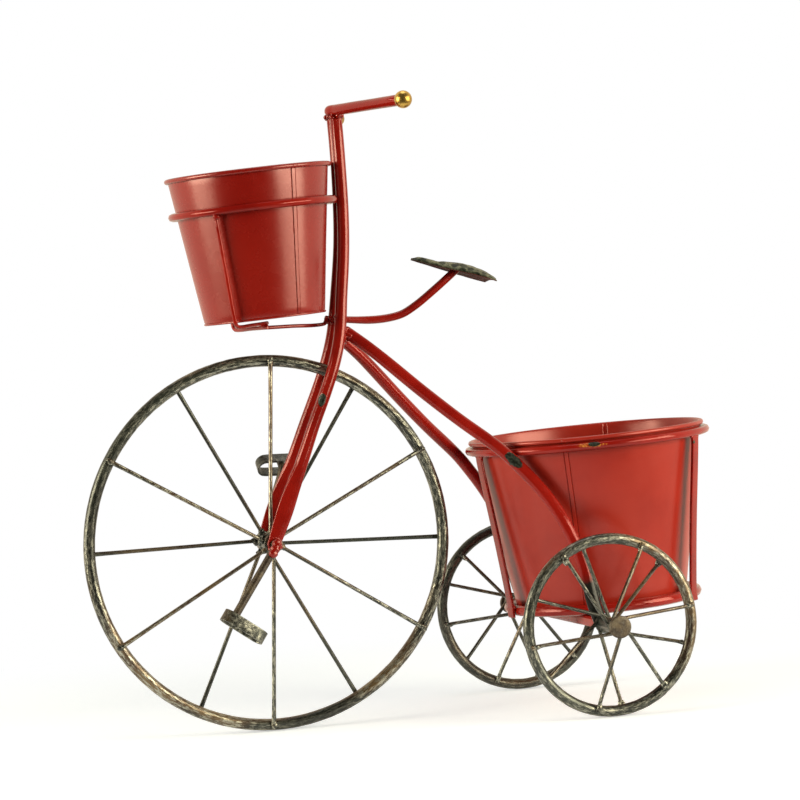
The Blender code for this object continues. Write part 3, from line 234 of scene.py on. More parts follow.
class Paint(Nodes):
    """A material's nodes."""

    def __init__(self, name):
        self.material = bpy.data.materials.new(name)
        self.material.use_nodes = True
        super().__init__(self.material.node_tree, "Object")
        self.shader = self.tree.nodes["Principled BSDF"]

    def wind(self, centre, major, around, outward):
        """Scales a wheel's places round and outwards, so that patterns stretch along rim or spoke."""
        offset = self.vector("SUBTRACT", self.place, centre)
        flat = self.vector("MULTIPLY", offset, (1.0, 0.0, 1.0))
        aside = self.vector("SUBTRACT", offset, flat)
        reach = self.math("SUBTRACT", self.vector("LENGTH", flat), major)
        reach = self.math("MULTIPLY", reach, outward)
        scaled = self.add("ShaderNodeVectorMath", operation="SCALE")
        self.link(self.vector("NORMALIZE", flat), scaled.inputs[0])
        self.link(self.math("ADD", reach, major * around), scaled.inputs["Scale"])
        self.place = self.vector("ADD", scaled.outputs["Vector"], aside)

    def facing_up(self):
        return self.upward(self.add("ShaderNodeTexCoord").outputs["Normal"])

    def noise(self, scale, detail=3.0, roughness=0.55):
        node = self.add("ShaderNodeTexNoise")
        self.link(self.place, node.inputs["Vector"])
        node.inputs["Scale"].default_value = scale
        node.inputs["Detail"].default_value = detail
        node.inputs["Roughness"].default_value = roughness
        return node.outputs["Fac"]

    def patches(self, scale, detail, low, high, low_out=0.0, high_out=1.0):
        """A noise cut into patches with soft edges."""
        return self.ramp(self.noise(scale, detail), low, high, low_out, high_out)

    def uneven(self, scale, detail, roughness, depth, strength, share=1.0, before=None):
        """A bump made of noise; the share scales its depth."""
        return self.bump(self.noise(scale, detail, roughness), depth * share, strength, before)

    def dents(self, scale, smoothness):
        node = self.add("ShaderNodeTexVoronoi", feature="SMOOTH_F1")
        self.link(self.place, node.inputs["Vector"])
        node.inputs["Scale"].default_value = scale
        node.inputs["Smoothness"].default_value = smoothness
        return node.outputs["Distance"]

    def bump(self, height, distance, strength, before=None):
        node = self.add("ShaderNodeBump")
        node.inputs["Strength"].default_value = strength
        node.inputs["Distance"].default_value = distance
        self.link(height, node.inputs["Height"])
        if before is not None:
            self.link(before, node.inputs["Normal"])
        return node.outputs["Normal"]

    def spot(self, centre, radii, axes=Matrix.Identity(3), ragged=0.25):
        """1 inside an oval round a point, with a ragged edge, and 0 outside."""
        offset = self.vector("SUBTRACT", self.place, centre)
        total = None
        for axis, radius in zip(axes, radii):
            along = self.vector("DOT_PRODUCT", offset, Vector(axis) / radius)
            square = self.math("MULTIPLY", along, along)
            total = square if total is None else self.math("ADD", total, square)
        wobble = self.math("SUBTRACT", self.noise(*SPOT_EDGE_NOISE), 0.5)
        wobble = self.math("MULTIPLY", wobble, ragged * 4)
        return self.ramp(self.math("ADD", total, wobble), *SPOT_EDGE)

    def finish(self, colour, roughness, normal):
        self.link(colour, self.shader.inputs["Base Color"])
        self.link(roughness, self.shader.inputs["Roughness"])
        self.link(normal, self.shader.inputs["Normal"])
        return self.material


# Materials
def red_paint(name, colour, deep, warm, roughness, gloss, peel, chips=(), black_below=None, gilded=None):
    """Sprayed red paint over black steel, with soft orange peel, dust, thin spots and chips."""
    n = Paint(name)
    base = n.mix(n.patches(*PAINT_CLOUDS), colour, deep)
    base = n.mix(n.patches(*PAINT_WARMTH, high_out=PAINT_WARMTH_MOST), base, warm)
    specks = n.math("MULTIPLY", n.patches(*PAINT_SPECKS), PAINT_SPECK_SHARE)
    base = n.mix(specks, base, DUST_SPECK)
    edge = n.add("ShaderNodeNewGeometry").outputs["Pointiness"]
    worn = n.math("MULTIPLY", n.ramp(edge, *PAINT_EDGE), n.patches(*PAINT_WEAR))
    base = n.mix(n.math("MULTIPLY", worn, PAINT_WEAR_SHARE), base, WORN_EDGE)
    smoothest = roughness - PAINT_SMOOTHER * peel
    roughest = roughness + PAINT_ROUGHER * peel
    rough = n.patches(*PAINT_SHEEN, smoothest, roughest)
    normal = n.uneven(*PEEL_FINE, share=peel)
    normal = n.uneven(*PEEL_WIDE, share=peel, before=normal)
    if gilded:
        scuff = n.math("MULTIPLY", n.spot(*gilded, ragged=SCUFF_RAGGED), n.patches(*SCUFF_GRAIN))
        base = n.mix(scuff, base, GILT)
    if black_below:
        low, high = black_below
        wobble = n.math("SUBTRACT", n.noise(OVERSPRAY_SCALE), 0.5)
        wobble = n.math("MULTIPLY", wobble, OVERSPRAY_SPREAD)
        height = n.math("ADD", n.upward(n.place), wobble)
        base = n.mix(n.ramp(height, high, low), base, OVERSPRAY_BLACK)
    for chip in chips:
        mask = n.spot(*chip)
        base = n.mix(mask, base, n.mix(n.patches(*CHIP_FLAKES), CHIP_DARK, CHIP_LIGHT))
        rough = n.math("ADD", rough, n.math("MULTIPLY", mask, CHIP_ROUGHER))
        normal = n.bump(n.math("SUBTRACT", 1.0, mask), CHIP_DEPTH, CHIP_STRENGTH, normal)
    n.shader.inputs["Specular IOR Level"].default_value = gloss
    n.shader.inputs["Metallic"].default_value = PAINT_METALLIC
    return n.finish(base, rough, normal)


def brushed_black(name, silver, brown, rough=0.30, lift=0.0, wheel=None, stroke=1.0, soft=0.03):
    """Blackened steel: bronze and brown where it faces up, silver strokes of a dry brush elsewhere."""
    n = Paint(name)
    if wheel:
        n.wind(*wheel)
    upward = n.facing_up()
    grain = n.noise(GRAIN_SCALE * stroke, 3.0, 0.65)
    base = n.mix(n.patches(*STEEL_CLOUDS), STEEL_DARK, STEEL_LIGHT)
    cloud = n.math("ADD", n.noise(*RUST_NOISE), n.math("MULTIPLY", upward, RUST_UPWARD))
    rusty = n.math("MULTIPLY", n.ramp(cloud, RUST_START - lift, RUST_FULL - lift), brown)
    base = n.mix(rusty, base, n.mix(n.patches(*RUST_CLOUDS), RUST_DARK, RUST_LIGHT))
    fine = n.noise(STROKE_SCALE * stroke, 4.0, 0.7)
    fine = n.ramp(fine, STROKE_START - soft, STROKE_FULL + soft)
    strokes = n.math("MULTIPLY", fine, n.ramp(grain, GRAIN_START - soft, GRAIN_FULL + soft))
    where = n.math("MULTIPLY", upward, BRUSHED_UPWARD)
    where = n.math("SUBTRACT", n.noise(*BRUSHED_NOISE), where)
    strokes = n.math("MULTIPLY", strokes, n.ramp(where, *BRUSHED_STEP))
    brush = n.math("MULTIPLY", strokes, silver, clamp=True)
    base = n.mix(n.math("MULTIPLY", brush, BRUSHED_SHARE), base, BRUSHED_SILVER)
    metallic = n.math("ADD", n.math("MULTIPLY", brush, BRUSHED_METALLIC), STEEL_METALLIC)
    n.link(metallic, n.shader.inputs["Metallic"])
    n.shader.inputs["Specular IOR Level"].default_value = STEEL_GLOSS
    roughness = n.ramp(grain, 0.2, 0.8, rough - GRAIN_SMOOTHER, rough + GRAIN_ROUGHER)
    normal = n.bump(grain, GRAIN_DEPTH, GRAIN_STRENGTH, n.uneven(*STEEL_LUMPS))
    return n.finish(base, roughness, normal)


def brass_paint(name):
    """Gold-coloured paint with brown stains."""
    n = Paint(name)
    clouds = n.noise(95.0, 4.0)
    base = n.mix(n.ramp(clouds, 0.35, 0.7), BRASS_LIGHT, BRASS_DARK)
    base = n.mix(n.patches(*BRASS_STAINS), base, BRASS_STAIN)
    n.shader.inputs["Metallic"].default_value = BRASS_METALLIC
    return n.finish(base, n.ramp(clouds, 0.3, 0.7, 0.24, 0.38), n.uneven(*BRASS_LUMPS))


def hammered(name):
    """Dark green-black beaten steel, with a painted highlight on its ridges where they face up, and red
    overspray underneath.
    """
    n = Paint(name)
    dents = n.dents(*SEAT_DENTS)
    grain = n.noise(600.0)
    upward = n.facing_up()
    base = n.mix(n.patches(*SEAT_CLOUDS), SEAT_DARK, SEAT_GREEN)
    lit_ridge = n.math("MULTIPLY", n.ramp(dents, *SEAT_RIDGE_STEP), n.ramp(grain, *SEAT_RIDGE_GRAIN))
    # Painted highlight: the ridges turn lighter only where they face up, as lit from above.
    base = n.mix(n.math("MULTIPLY", lit_ridge, n.ramp(upward, *SEAT_LIT_UPPER)), base, SEAT_RIDGE_HIGHLIGHT)
    below = n.ramp(upward, *SEAT_BELOW)
    red = n.math("MULTIPLY", below, n.patches(*SEAT_OVERSPRAY_CLOUDS, low_out=0.4))
    base = n.mix(red, base, SEAT_OVERSPRAY)
    metallic = n.math("MULTIPLY", n.math("SUBTRACT", 1.0, below), SEAT_METALLIC)
    n.link(metallic, n.shader.inputs["Metallic"])
    n.shader.inputs["Specular IOR Level"].default_value = SEAT_GLOSS
    rougher = n.math("MULTIPLY", below, SEAT_BELOW_ROUGHER)
    roughness = n.math("ADD", n.ramp(grain, *SEAT_ROUGHNESS), rougher)
    normal = n.bump(grain, 0.0002, 0.5, n.bump(dents, 0.0014, 0.8))
    return n.finish(base, roughness, normal)


# Each chip has a centre, three radii and, where it lies on a sloping tube, three axes.
FORK_CHIP = (
    (-0.0817, -0.0232, 0.3237), (0.0035, 0.006, 0.0068),
    ((0.97, 0.0, -0.24), (0.0, 1.0, 0.0), (0.24, 0.0, 0.97)),
)
TUBE_CHIP = (
    (0.0945, -0.0800, 0.2535), (0.0105, 0.009, 0.0052),
    ((0.69, 0.0, -0.72), (0.0, 1.0, 0.0), (0.72, 0.0, 0.69)),
)
HOOP_CHIP = ((0.1652, -0.1185, 0.2652), (0.0062, 0.006, 0.0024))
HOOP_SCUFF = ((0.163, -0.1183, 0.2645), (0.016, 0.008, 0.0022))

# The long tubes are black below the first height and red above the second.
TUBE_BLACK_BELOW = (0.128, 0.138)
RED_FRAME = red_paint(
    "red_frame_paint", (0.31, 0.011, 0.006), (0.21, 0.006, 0.004), (0.37, 0.018, 0.009),
    roughness=0.15, gloss=0.34, peel=0.6,
)
# The fork's copy of the frame paint is a darker red than the rest: painted shade.
RED_FORK_SHADED = red_paint(
    "red_frame_paint_fork_shaded", (0.27, 0.009, 0.005), (0.18, 0.005, 0.003), (0.33, 0.014, 0.007),
    roughness=0.13, gloss=0.46, peel=0.5, chips=(FORK_CHIP,),
)
RED_TUBE = red_paint(
    "red_frame_paint_tube", (0.29, 0.010, 0.006), (0.20, 0.005, 0.003), (0.34, 0.015, 0.008),
    roughness=0.14, gloss=0.30, peel=0.6, chips=(TUBE_CHIP,), black_below=TUBE_BLACK_BELOW,
)
RED_HOOP = red_paint(
    "red_frame_paint_hoop", (0.32, 0.012, 0.007), (0.23, 0.007, 0.004), (0.38, 0.020, 0.010),
    roughness=0.15, gloss=0.36, peel=0.6, chips=(HOOP_CHIP,), gilded=HOOP_SCUFF,
)
RED_POT = red_paint(
    "red_pot_paint", (0.27, 0.008, 0.004), (0.24, 0.006, 0.003), (0.30, 0.012, 0.006),
    roughness=0.27, gloss=0.68, peel=0.12,
)
RED_REAR_POT = red_paint(
    "red_pot_paint_rear", (0.36, 0.020, 0.010), (0.32, 0.016, 0.008), (0.40, 0.027, 0.013),
    roughness=0.30, gloss=0.52, peel=0.15,
)

# A wheel's pattern has its axle, its radius, and the scales round it and outwards.
FRONT_AXLE = (-0.138689, 0.0, 0.1858)
REAR_AXLE = (0.162811, 0.0, 0.0895)
FRONT_MAJOR = 0.18
REAR_MAJOR = 0.084
FRONT_RIM_WOUND = (FRONT_AXLE, FRONT_MAJOR, 0.22, 1.0)
REAR_RIM_WOUND = (REAR_AXLE, REAR_MAJOR, 0.25, 1.0)
FRONT_SPOKE_WOUND = (FRONT_AXLE, FRONT_MAJOR, 1.0, 0.3)
REAR_SPOKE_WOUND = (REAR_AXLE, REAR_MAJOR, 1.0, 0.3)
FRONT_RIM_BLACK = brushed_black("worn_black_steel", 1.6, 0.9, wheel=FRONT_RIM_WOUND)
REAR_RIM_BLACK = brushed_black("worn_black_steel_rear", 0.95, 0.9, wheel=REAR_RIM_WOUND)
# The far rear rim takes a darker copy of the same steel, with less silver and less brown: painted shade.
FAR_RIM_SHADED = brushed_black("worn_black_steel_far_shaded", 0.4, 0.5, wheel=REAR_RIM_WOUND)
BLACK = brushed_black("worn_black_steel_plain", 0.7, 0.8)
# Near front spokes take a light copy with much silver, a painted highlight; far ones take a dark copy
# with little silver, painted shade.
LIT_SPOKE = brushed_black("worn_black_steel_lit", 1.7, 0.9, lift=0.1, wheel=FRONT_SPOKE_WOUND)
SHADED_SPOKE = brushed_black("worn_black_steel_shaded", 0.2, 0.5, wheel=FRONT_SPOKE_WOUND)
REAR_SPOKE = brushed_black("worn_black_steel_rear_spoke", 0.9, 0.8, wheel=REAR_SPOKE_WOUND)
PEDAL = brushed_black("worn_black_steel_pedal", 1.6, 0.5, lift=-0.02, stroke=0.4, soft=0.12)
SILVER_WELD = brushed_black("worn_black_steel_weld", 3.0, 0.4, stroke=0.6)
BRONZE = brushed_black("bronzed_steel", 0.15, 0.5, rough=0.42, lift=0.3)
FINISH = {
    "red_frame_paint": RED_FRAME,
    "red_pot_paint": RED_POT,
    "worn_black_steel": BLACK,
    "bronzed_steel": BRONZE,
    "brass": brass_paint("brass"),
    "hammered_dark_metal": hammered("hammered_dark_metal"),
}

# Pieces
MOST_MOVE = 0.0006
ROUND_PASSES = 3
MERGE_DISTANCE = 0.000001
FLAT_FACE_DEGREES = 14.0
FLAT_SHAPE_DEGREES = 60.0
CREASE_DEGREES = 32.0
CREASE_STRENGTH = 0.85
SHARP_DEGREES = 50.0


def new_object(name, data):
    obj = bpy.data.objects.new(name, data)
    bpy.context.scene.collection.objects.link(obj)
    return obj


def new_mesh(name, bm):
    mesh = bpy.data.meshes.new(name)
    bm.to_mesh(mesh)
    bm.free()
    return mesh


def add_piece(name, mesh, node_or_body, slot, material=None, stands_for=()):
    obj = new_object(name, mesh)
    mesh.materials.clear()
    mesh.materials.append(material or FINISH[slot])
    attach(obj, BODY_OF.get(node_or_body, node_or_body))
    if stands_for:
        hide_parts(*stands_for)
    return obj


def evaluated(obj):
    """The mesh of an object with its modifiers applied."""
    graph = bpy.context.evaluated_depsgraph_get()
    return bpy.data.meshes.new_from_object(obj.evaluated_get(graph))


def rounded_copy(node, levels=2, crease_degrees=CREASE_DEGREES):
    """The node's own surface made smooth: its rings are rounded without shrinking."""
    bm = bmesh.new()
    bm.from_mesh(NODES[node].data)
    bmesh.ops.remove_doubles(bm, verts=bm.verts, dist=MERGE_DISTANCE)
    bmesh.ops.join_triangles(
        bm, faces=bm.faces, angle_face_threshold=math.radians(FLAT_FACE_DEGREES),
        angle_shape_threshold=math.radians(FLAT_SHAPE_DEGREES),
    )
    crease = bm.edges.layers.float.new("crease_edge")
    for edge in bm.edges:
        sharp = len(edge.link_faces) == 2 and edge.calc_face_angle(0.0) > math.radians(crease_degrees)
        edge[crease] = CREASE_STRENGTH if sharp else 0.0
    mesh = new_mesh(node + "_smooth", bm)
    obj = new_object(node + "_smooth", mesh)
    wanted = [v.co.copy() for v in mesh.vertices]
    modifier = obj.modifiers.new("round", "SUBSURF")
    modifier.levels = 1
    modifier.render_levels = 1
    for _ in range(ROUND_PASSES):
        result = evaluated(obj)
        for vertex, target, reached in zip(mesh.vertices, wanted, result.vertices):
            vertex.co += target - reached.co
            moved = vertex.co - target
            if moved.length > MOST_MOVE:
                vertex.co = target + moved.normalized() * MOST_MOVE
        bpy.data.meshes.remove(result)
    modifier.levels = levels
    final = evaluated(obj)
    bpy.data.objects.remove(obj)
    final.shade_smooth()
    final.set_sharp_from_angle(angle=math.radians(SHARP_DEGREES))
    return final


def dress(node, material):
    slot = NODES[node].data.materials[0].name
    add_piece(node + "_skin", rounded_copy(node), node, slot, material, (node,))


def normals_of(mesh):
    return [vertex.normal.copy() for vertex in mesh.vertices]


def rough_hand(point, size, amount):
    """A small steady unevenness, the same on every run."""
    return noise.noise(Vector(point) * size) * amount


# Sheet metal pots. Tilts and the directions of seams and dents are in degrees. A dent has a
# direction, a height, half a width, half a tallness and a depth.
FRONT_POT = dict(
    origin=(-0.128371, 0.0, 0.406646), tilt=3.5, bottom=0.0596, top=0.0799, height=0.1472,
    seams=(-70.0, 110.0),
    dents=((-98.0, 0.139, 0.0035, 0.0045, 0.0006), (-60.0, 0.139, 0.03, 0.006, 0.0004)),
)
REAR_POT = dict(
    origin=(0.206583, 0.0, 0.096929), tilt=2.5, bottom=0.0852, top=0.1168, height=0.178,
    seams=(-120.0, 60.0),
    dents=((-75.0, 0.055, 0.022, 0.028, 0.0008), (-100.0, 0.10, 0.05, 0.03, 0.0004)),
)
SHEET = 0.0014
BEAD = 0.0024
BEAD_OUTWARD = 0.0006
BEAD_STEPS = 14
BEAD_START_DEGREES = -125.0
BEAD_TURN_DEGREES = 290.0
NECK_BELOW_TOP = 2.3 * BEAD
FOOT_BEAD = 0.0011
FOOT_STEPS = 6
WALL_START = 3.0 * FOOT_BEAD
FLOOR_RAISE = 0.004
INSIDE_CURVE = 0.004
WALL_ROWS = 26
WALL_COLUMNS = 180
SEAM_HALF = 0.0023
SEAM_SOFT = 0.00035
SEAM_STEP = 0.00055
SEAM_EDGE_SHIFTS = (
    -SEAM_HALF - 3 * SEAM_SOFT, -SEAM_HALF - 1.5 * SEAM_SOFT, -SEAM_HALF, -SEAM_HALF + 1.5 * SEAM_SOFT,
)
SEAM_SHARE_AT_FOOT = 0.6
SEAM_SHARE_AT_BEAD = 0.35
UNEVEN_SHEET = 0.00028


def seam_height(distance):
    """A pressed lock seam: a raised strip with a fine groove along each side."""
    away = abs(distance)
    if away < SEAM_HALF - SEAM_SOFT:
        return SEAM_STEP
    if away < SEAM_HALF + SEAM_SOFT:
        return -SEAM_STEP
    return 0.0


def turn_apart(turn, degrees):
    """The angle from a direction to a turn, between half a turn back and half a turn on."""
    return (turn - math.radians(degrees) + math.pi) % (2 * math.pi) - math.pi


def pot_profile(bottom, top, height):
    """Radius, height and share of the unevenness, from under the floor round the wall to its inside."""
    def wall(at):
        return bottom + (top - bottom) * at / height

    neck = height - NECK_BELOW_TOP
    inner_floor = FLOOR_RAISE + SHEET
    profile = [
        (0.0, FLOOR_RAISE, 0),
        (bottom * 0.5, FLOOR_RAISE, 0),
        (bottom - 0.006, FLOOR_RAISE, 0),
        (bottom - SHEET - 0.0006, FLOOR_RAISE - 0.0008, 0),
        (bottom - SHEET, 0.0002, 0),
    ]
    for step in range(FOOT_STEPS + 1):
        angle = math.pi * (step / FOOT_STEPS - 0.5)
        out = bottom - 0.0002 + FOOT_BEAD * (0.1 + math.cos(angle))
        profile.append((out, FOOT_BEAD * (1 + math.sin(angle)), 0))
    for step in range(WALL_ROWS + 1):
        at = WALL_START + (neck - WALL_START) * step / WALL_ROWS
        profile.append((wall(at), at, 1 if step else SEAM_SHARE_AT_FOOT))
    for step in range(BEAD_STEPS + 1):
        angle = math.radians(BEAD_START_DEGREES + BEAD_TURN_DEGREES * step / BEAD_STEPS)
        out = wall(height) + BEAD_OUTWARD + BEAD * math.cos(angle)
        profile.append((out, height - BEAD + BEAD * math.sin(angle), SEAM_SHARE_AT_BEAD))
    for step in range(WALL_ROWS + 1):
        at = neck - (neck - FLOOR_RAISE - INSIDE_CURVE) * step / WALL_ROWS
        profile.append((wall(at) - SHEET, at, 1))
    return profile + [
        (bottom - SHEET - 0.001, inner_floor + 0.0008, 0),
        (bottom - SHEET - 0.004, inner_floor, 0),
        (bottom * 0.5, inner_floor, 0),
        (0.0, inner_floor, 0),
    ]


def pot_turns(top, seams):
    """The directions of the pot's columns, closer together at its seams."""
    turns = [2 * math.pi * step / WALL_COLUMNS for step in range(WALL_COLUMNS)]
    for degrees in seams:
        middle = math.radians(degrees) % (2 * math.pi)
        near = 2.2 * SEAM_HALF / top
        turns = [t for t in turns if abs(t - middle) > near]
        for shift in SEAM_EDGE_SHIFTS:
            turns += [middle + shift / top, middle - shift / top]
        turns += [middle, middle + 0.5 * SEAM_HALF / top, middle - 0.5 * SEAM_HALF / top]
        turns += [middle - near, middle + near]
    return sorted(turns)


def pot_mesh(name, origin, tilt, bottom, top, height, seams, dents):
    profile = pot_profile(bottom, top, height)
    bm = bmesh.new()
    columns = []
    for turn in pot_turns(top, seams):
        column = []
        for radius, at, share in profile:
            if radius == 0.0:
                column.append(None)
                continue
            lifted = radius
            if share:
                for degrees in seams:
                    lifted += seam_height(turn_apart(turn, degrees) * top) * share
            for dent_turn, dent_at, wide, high, deep in dents:
                off = turn_apart(turn, dent_turn) * top / wide
                lifted -= deep * math.exp(-(off ** 2) - ((at - dent_at) / high) ** 2) * min(share, 1)
            spot = (math.cos(turn) * 1.3, math.sin(turn) * 1.3, at * 9.0)
            lifted += rough_hand(spot, 1.0, UNEVEN_SHEET) * min(share * 2, 1)
            column.append(bm.verts.new((lifted * math.cos(turn), lifted * math.sin(turn), at)))
        columns.append(column)
    under = bm.verts.new((0.0, 0.0, profile[0][1]))
    over = bm.verts.new((0.0, 0.0, profile[-1][1]))
    last = len(profile) - 1
    for index, column in enumerate(columns):
        following = columns[(index + 1) % len(columns)]
        bm.faces.new((under, following[1], column[1]))
        for row in range(1, last - 1):
            bm.faces.new((column[row], following[row], following[row + 1], column[row + 1]))
        bm.faces.new((over, column[last - 1], following[last - 1]))
    bmesh.ops.recalc_face_normals(bm, faces=bm.faces)
    bm.transform(Matrix.Translation(Vector(origin)) @ Matrix.Rotation(-math.radians(tilt), 4, "Y"))
    mesh = new_mesh(name, bm)
    mesh.shade_smooth()
    mesh.set_sharp_from_angle(angle=math.radians(SHARP_DEGREES))
    return mesh


for node, pot, finish in (("front_pot", FRONT_POT, RED_POT), ("rear_pot", REAR_POT, RED_REAR_POT)):
    add_piece(node + "_sheet", pot_mesh(node + "_sheet", **pot), node, "red_pot_paint", finish, (node,))


# Rims of bent tube, slightly uneven as blackened and brushed by hand
RIM_SIDES = 20
RIM_UNDERSIZE = 0.0001
RIM_DENTS = ((160.0, 0.00018), (420.0, 0.00009))


def rim_mesh(node, tube_radius, around):
    low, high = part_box(node)
    centre = (low + high) / 2
    major = (high.x - low.x) / 2 - tube_radius
    bm = bmesh.new()
    rings = []
    for step in range(around):
        turn = 2 * math.pi * step / around
        ring = []
        for side in range(RIM_SIDES):
            angle = 2 * math.pi * side / RIM_SIDES
            spot = (math.cos(turn) * major, math.sin(turn) * major, math.sin(angle) * tube_radius)
            thick = tube_radius - RIM_UNDERSIZE
            for size, amount in RIM_DENTS:
                thick += rough_hand(spot, size, amount)
            radius = major + thick * math.cos(angle)
            ring.append(bm.verts.new((
                centre.x + radius * math.cos(turn),
                centre.y + thick * math.sin(angle),
                centre.z + radius * math.sin(turn),
            )))
        rings.append(ring)
    for index, ring in enumerate(rings):
        following = rings[(index + 1) % around]
        for side in range(RIM_SIDES):
            after = (side + 1) % RIM_SIDES
            bm.faces.new((ring[side], ring[after], following[after], following[side]))
    bmesh.ops.recalc_face_normals(bm, faces=bm.faces)
    mesh = new_mesh(node, bm)
    mesh.shade_smooth()
    return mesh


for node, tube_radius, around, finish in (
    ("front_rim", 0.0059, 360, FRONT_RIM_BLACK),
    ("rear_rim_left", 0.0055, 220, REAR_RIM_BLACK),
    # The far rear rim gets the painted-shade copy of the steel.
    ("rear_rim_right", 0.0055, 220, FAR_RIM_SHADED),
):
    mesh = rim_mesh(node, tube_radius, around)
    add_piece(node + "_tube", mesh, node, "worn_black_steel", finish, (node,))


# Lumps of weld, under paint or brushed. Each seed is a ball with a centre and a radius.
WELD_LUMP_SCALE = 350.0
WELD_SOFTEN = 0.5
WELD_SOFTEN_PASSES = 4


def weld(name, body, slot, seeds, material=None, voxel=0.0006, bumpy=0.0004):
    bm = bmesh.new()
    for point, radius in seeds:
        made = bmesh.ops.create_icosphere(bm, subdivisions=3, radius=radius)
        bmesh.ops.translate(bm, verts=made["verts"], vec=Vector(point))
    obj = new_object(name, new_mesh(name, bm))
    remesh = obj.modifiers.new("melt", "REMESH")
    remesh.mode = "VOXEL"
    remesh.voxel_size = voxel
    soften = obj.modifiers.new("soften", "SMOOTH")
    soften.factor = WELD_SOFTEN
    soften.iterations = WELD_SOFTEN_PASSES
    final = evaluated(obj)
    bpy.data.objects.remove(obj)
    for vertex, normal in zip(final.vertices, normals_of(final)):
        vertex.co += normal * rough_hand(vertex.co, WELD_LUMP_SCALE, bumpy)
    final.shade_smooth()
    add_piece(name, final, body, slot, material)


def pairs(points, radius):
    """The same seeds on the left and on the right."""
    return [((x, side * y, z), radius) for x, y, z in points for _, side in SIDE_NAMES]


HANDLEBAR_SEEDS = pairs((
    (-0.0525, 0.0050, 0.6030), (-0.0505, 0.0100, 0.6022), (-0.0400, 0.0065, 0.6025),
    (-0.0410, 0.0110, 0.6035), (-0.0450, 0.0128, 0.6030), (-0.0390, 0.0030, 0.6045),
), 0.0027)
BRIDGE_SEEDS = pairs((
    (-0.0590, 0.0110, 0.4045), (-0.0575, 0.0095, 0.3990), (-0.0520, 0.0090, 0.4045),
    (-0.0545, 0.0085, 0.3975), (-0.0500, 0.0030, 0.4050), (-0.0495, 0.0025, 0.3985),
), 0.0026)
FRAME_TUBE_SEEDS = pairs((
    (-0.0495, 0.0140, 0.3860), (-0.0470, 0.0150, 0.3850), (-0.0520, 0.0145, 0.3905),
    (-0.0490, 0.0120, 0.3920), (-0.0535, 0.0150, 0.3830), (-0.0505, 0.0100, 0.3800),
    (-0.0555, 0.0135, 0.3950),
), 0.0027)
RING_SEEDS = pairs((
    (-0.0522, 0.0085, 0.5232), (-0.0522, 0.0085, 0.5186), (-0.0530, 0.0110, 0.5230),
    (-0.0530, 0.0110, 0.5188),
), 0.0019)
FRONT_WIRE_SEEDS = [
    ((-0.1866, -0.0604, 0.5082), 0.0028), ((-0.1850, -0.0618, 0.5072), 0.0024),
    ((-0.1864, -0.0600, 0.5050), 0.0022), ((-0.1574, 0.0766, 0.5092), 0.0028),
    ((-0.1560, 0.0764, 0.5070), 0.0023), ((-0.1330, -0.0095, 0.4006), 0.0028),
    ((-0.1305, -0.0105, 0.4000), 0.0024), ((-0.1360, -0.0085, 0.4010), 0.0024),
    ((-0.0620, 0.0125, 0.4005), 0.0028), ((-0.0625, 0.0125, 0.4045), 0.0022),
]
# These welds share the fork's darker, painted-shade copy of the red paint.
weld("handlebar_weld", "frame", "red_frame_paint", HANDLEBAR_SEEDS, RED_FORK_SHADED)
weld("bridge_weld", "frame", "red_frame_paint", BRIDGE_SEEDS, RED_FORK_SHADED)
weld("frame_tube_weld", "frame", "red_frame_paint", FRAME_TUBE_SEEDS, RED_FORK_SHADED)
weld("ring_weld", "frame", "red_frame_paint", RING_SEEDS, RED_FORK_SHADED)
weld("front_wire_weld", "frame", "red_frame_paint", FRONT_WIRE_SEEDS)

# Welds of the three uprights to the hoops
BASKET_ORIGIN = Vector((0.207411, 0.0, 0.09697))
BASKET_TILT_DEGREES = 2.5
UPRIGHT_DEGREES = (186.0, -47.0, 47.0)
BASKET_SEED_RADIUS = 0.0019
UPPER_WELD_RADIUS = 0.1207
UPPER_WELD_HEIGHT = 0.1640
UPPER_WELD_STEP_DEGREES = 2.9
LOWER_WELD_RADIUS = 0.1014
LOWER_WELD_HEIGHT = 0.0110
LOWER_WELD_STEP_DEGREES = 3.3
LOWER_WELD_DROOP = 0.001


def basket_point(radius, degrees, height):
    angle = math.radians(degrees)
    local = Vector((radius * math.cos(angle), radius * math.sin(angle), height))
    return BASKET_ORIGIN + Matrix.Rotation(-math.radians(BASKET_TILT_DEGREES), 3, "Y") @ local


basket_seeds = []
for degrees in UPRIGHT_DEGREES:
    for shift in (-1.0, -0.5, 0.0, 0.5, 1.0):
        upper_degrees = degrees + shift * UPPER_WELD_STEP_DEGREES
        lower_degrees = degrees + shift * LOWER_WELD_STEP_DEGREES
        lower_height = LOWER_WELD_HEIGHT - abs(shift) * LOWER_WELD_DROOP
        upper = basket_point(UPPER_WELD_RADIUS, upper_degrees, UPPER_WELD_HEIGHT)
        lower = basket_point(LOWER_WELD_RADIUS, lower_degrees, lower_height)
        basket_seeds += [(upper, BASKET_SEED_RADIUS), (lower, BASKET_SEED_RADIUS)]
weld("basket_weld", "frame", "red_frame_paint", basket_seeds, RED_HOOP)

